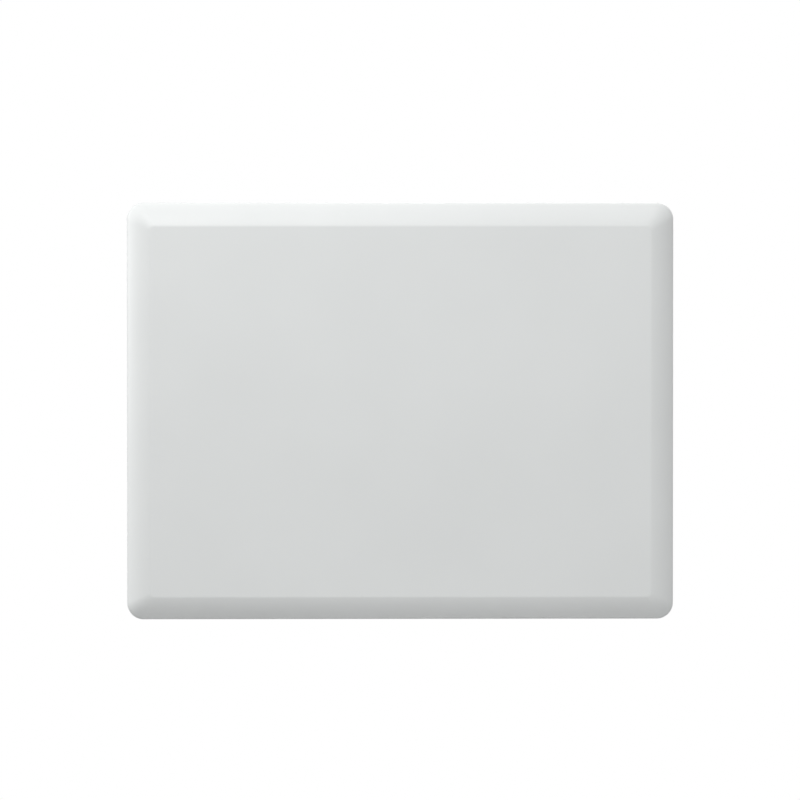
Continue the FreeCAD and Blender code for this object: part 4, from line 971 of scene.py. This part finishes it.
transformerShape = {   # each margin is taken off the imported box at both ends: X and Z
    "leg": 6 * mm,
    "coreDepth": 11 * mm,
    "coreMargin": 3 * mm,
    "coreEase": 0.5 * mm,
    "bobbinMargin": (0.5 * mm, 1.5 * mm),
    "bobbinRear": 0.5 * mm,
    "bobbinEase": 0.6 * mm,
    "tapeMargin": 2 * mm,
    "tapeEase": 2.4 * mm,
}


def makeTransformer():
    s = transformerShape
    low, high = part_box("power_transformer")
    middle = (low + high) / 2
    coreLow, coreHigh = low.z + s["coreMargin"], high.z - s["coreMargin"]
    left, right = low.x + s["leg"], high.x - s["leg"]
    core = block("transformer_core", (low.x, middle.y - s["coreDepth"] / 2, coreLow),
                 (high.x, middle.y + s["coreDepth"] / 2, coreHigh))
    window = block("window", (left, low.y - mm, coreLow + s["leg"]),
                   (right, high.y + mm, coreHigh - s["leg"]))
    combine(core, window, "DIFFERENCE")
    roundEdges(core, s["coreEase"])
    side, end = s["bobbinMargin"]
    bobbin = block("transformer_bobbin", (left + side, low.y + s["bobbinRear"], low.z + end),
                   (right - side, high.y, high.z - end))
    roundEdges(bobbin, s["bobbinEase"])
    tape = block("transformer_tape", (left + s["tapeMargin"], low.y, low.z),
                 (right - s["tapeMargin"], high.y - mm, high.z))
    roundEdges(tape, s["tapeEase"], steps=5)
    deliver(core, "unit", "ferrite", ["power_transformer"])
    deliver(bobbin, "unit", "black_plastic")
    deliver(tape, "unit", "coil_winding", material=finish["tapeYellow"])


makeTransformer()

chokeShape = {"section": 3.1 * mm, "wire": 0.5 * mm, "turns": 26, "flatten": 0.9,
              "coreSteps": (64, 16), "turnSteps": (18, 6)}


def makeChoke():  # a ring core with its turns of wire
    s = chokeShape
    low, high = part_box("power_inductor")
    middle = (low + high) / 2
    ring = (high.x - low.x) / 2 - s["section"] - 2 * s["wire"]
    tall = ((high.y - low.y) / 2 - 2 * s["wire"]) / s["section"]
    bpy.ops.mesh.primitive_torus_add(major_radius=ring, minor_radius=s["section"], location=middle,
                                     major_segments=s["coreSteps"][0], rotation=alongY,
                                     minor_segments=s["coreSteps"][1])
    bpy.ops.transform.resize(value=(1, tall, 1), center_override=middle)
    core = takePiece("choke_core")
    pick(core, "faces", lambda spot, facing: abs(facing.y) > squareOn)
    bpy.ops.transform.resize(value=(1, s["flatten"], 1), center_override=middle)
    leaveEdit()
    spot = middle + Vector((ring, 0, 0))
    bpy.ops.mesh.primitive_torus_add(major_radius=s["section"] + s["wire"], minor_radius=s["wire"],
                                     major_segments=s["turnSteps"][0], location=spot,
                                     minor_segments=s["turnSteps"][1])
    bpy.ops.transform.resize(value=(1, tall, 1), center_override=spot)
    turn = takePiece("turn")
    made = []
    for index in range(s["turns"]):
        chooseOnly(turn)
        bpy.ops.object.duplicate(linked=False)
        bpy.ops.transform.rotate(value=2 * math.pi * (index + 0.5) / s["turns"], orient_axis="Y",
                                 center_override=middle)
        bpy.ops.object.transform_apply(location=True, rotation=True, scale=True)
        made.append(bpy.context.active_object)
    bpy.data.objects.remove(turn)
    winding = joinPieces(made, "choke_winding")
    deliver(core, "unit", "ferrite", smooth=40)
    deliver(winding, "unit", "coil_winding", ["power_inductor"], smooth=60)


makeChoke()
print("power board parts made")


legShape = {
    "wide": 0.4 * mm,
    "foot": 0.9 * mm,              # how far the foot reaches out from the chip
    "thick": 0.18 * mm,
    "rise": 0.9 * mm,
    "shin": 0.25 * mm,             # where the upright part starts, out from the chip
    "inside": 0.1 * mm,
    "pitch": 1.27 * mm,
    "margin": 1.2 * mm,            # the row's clearance from the chip's ends, both together
}


def makeLegs():
    s = legShape
    half, shinEnd = s["wide"] / 2, s["shin"] + s["thick"]
    bars = (((s["shin"], 0), (s["foot"], s["thick"])),                          # foot
            ((-s["inside"], s["rise"] - s["thick"]), (shinEnd, s["rise"])),     # shoulder
            ((s["shin"], 0), (shinEnd, s["rise"])))                             # shin
    planes = [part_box(board)[end].y for board, end in (("reader_board", 0), ("feed_board", 1),
                                                     ("power_board", 0), ("power_board", 1))]
    rows = []
    for low, high, points in looseParts("board_chips") + looseParts("processor"):
        seat = min((low.y, high.y), key=lambda y: min(abs(y - plane) for plane in planes))
        up = -1 if seat == high.y else 1
        alongX = high.x - low.x >= high.z - low.z
        start, end = (low.x, high.x) if alongX else (low.z, high.z)
        count = max(2, int((end - start - s["margin"]) / s["pitch"]) + 1)
        first = (start + end) / 2 - (count - 1) * s["pitch"] / 2
        for side in (-1, 1):
            if alongX:
                wall = high.z if side > 0 else low.z
            else:
                wall = high.x if side > 0 else low.x

            def spot(along, out, rise):
                across, level = wall + side * out, seat + up * rise
                return Vector((along, level, across) if alongX else (across, level, along))

            parts = []
            for inner, outer in bars:
                a, b = spot(first - half, *inner), spot(first + half, *outer)
                parts.append(block("leg", [min(a[i], b[i]) for i in range(3)],
                                   [max(a[i], b[i]) for i in range(3)]))
            leg = parts[0]
            for part in parts[1:]:
                combine(leg, part, "UNION")
            chooseOnly(leg)
            row = leg.modifiers.new("row", "ARRAY")
            row.use_relative_offset = False
            row.use_constant_offset = True
            row.constant_offset_displace = (s["pitch"], 0, 0) if alongX else (0, 0, s["pitch"])
            row.count = count
            bpy.ops.object.modifier_apply(modifier=row.name)
            rows.append(leg)
    legs = joinPieces(rows, "chip_legs")
    deliver(legs, "unit", "shield_tin", smooth=0)
    print("chip legs made", len(rows))


makeLegs()


studio = {
    "frameWidth": 734.8 * mm,      # what the view takes in at the middle of the object
    "distance": 8.0,
    "fromLeft": 1.4,               # degrees
    "fromAbove": 1.85,
    "aimRight": 1.34 * mm,
    "aimUp": 8.0 * mm,
    "middle": 40 * mm,             # the middle of the object, in front of the wall
    "sensor": 36,
    "farthest": 50,
    "lampAim": (0, -80 * mm, 0),
    "floorBelow": 1.5,
    "floorRadius": 1.05,
    "floorSides": 128,
    "ambient": [(0.0, 0.03), (0.5, 0.665), (1.0, 0.67)],   # from straight down to straight up
}


def setCamera():
    turn, climb = math.radians(-studio["fromLeft"]), math.radians(studio["fromAbove"])
    back = Vector((math.sin(turn) * math.cos(climb), -math.cos(turn) * math.cos(climb),
                   math.sin(climb)))
    facing = (-back).to_track_quat("-Z", "Y")
    aim = facing @ Vector((studio["aimRight"], studio["aimUp"], 0))
    bpy.ops.object.camera_add(location=aim + back * (studio["distance"] + studio["middle"]),
                              rotation=facing.to_euler())
    camera = bpy.context.active_object
    camera.name = "camera"
    camera.data.sensor_width = studio["sensor"]
    camera.data.lens = studio["distance"] * studio["sensor"] / studio["frameWidth"]
    camera.data.clip_end = studio["farthest"]
    scene.camera = camera


lamps = {                             # each lamp's place, width and watts
    "keyLight": dict(spot=(-0.45, -1.15, 1.1), size=0.9, power=12.4),
    "topLight": dict(spot=(-0.2, 0.45, 1.7), size=1.0, power=3.8),
    "leftLight": dict(spot=(-1.8, 0.35, 0.35), size=1.0, power=13),
    "rightLight": dict(spot=(1.9, 0.1, 0.1), size=1.0, power=2),
    "frontFill": dict(spot=(0.9, -2.4, -0.7), size=1.6, power=8.6),
    "backLight": dict(spot=(0.9, 2.2, 1.2), size=2.8, power=26),
}


def setLamp(name, spot, size, power):
    aim = (Vector(studio["lampAim"]) - Vector(spot)).to_track_quat("-Z", "Y").to_euler()
    bpy.ops.object.light_add(type="AREA", location=spot, rotation=aim)
    lamp = bpy.context.active_object
    lamp.name = name
    lamp.data.shape = "DISK"
    lamp.data.size = size
    lamp.data.energy = power


def setSurroundings():
    world = bpy.data.worlds.new("paleStudio")
    scene.world = world
    world.use_nodes = True
    nodes, links = world.node_tree.nodes, world.node_tree.links
    plain = nodes["Background"]            # behind the object
    plain.inputs["Color"].default_value = (1, 1, 1, 1)
    glow = addNode(nodes, "Background")    # what lights it
    where = addNode(nodes, "TexCoord")
    parts = addNode(nodes, "SeparateXYZ")
    links.new(where.outputs["Generated"], parts.inputs["Vector"])
    climb = addNode(nodes, "MapRange", {"From Min": -1})
    links.new(parts.outputs["Z"], climb.inputs["Value"])
    shades = addRamp(nodes, links, climb.outputs["Result"],
                     [(place, (tone, tone, tone)) for place, tone in studio["ambient"]])
    links.new(shades.outputs["Color"], glow.inputs["Strength"])
    ray = addNode(nodes, "LightPath")
    either = addNode(nodes, "MixShader")
    links.new(ray.outputs["Is Camera Ray"], either.inputs["Fac"])
    links.new(glow.outputs["Background"], either.inputs[1])
    links.new(plain.outputs["Background"], either.inputs[2])
    links.new(either.outputs["Shader"], nodes["World Output"].inputs["Surface"])


floorFinish = dict(dark=(0.78, 0.78, 0.78), light=(0.82, 0.82, 0.82), rough=(0.6, 0.7), cloud=3,
                   grain=60, depth=0.1)


def layFloor():
    bpy.ops.mesh.primitive_circle_add(vertices=studio["floorSides"], radius=studio["floorRadius"],
                                      fill_type="NGON", location=(0, 0, -studio["floorBelow"]))
    floor = takePiece("floor")
    floor.data.materials.append(makeFinish("paleFloor", **floorFinish))


setCamera()
for name, values in lamps.items():
    setLamp(name, **values)
setSurroundings()
layFloor()
scene.view_settings.view_transform = "Standard"
print("camera, light and floor set")
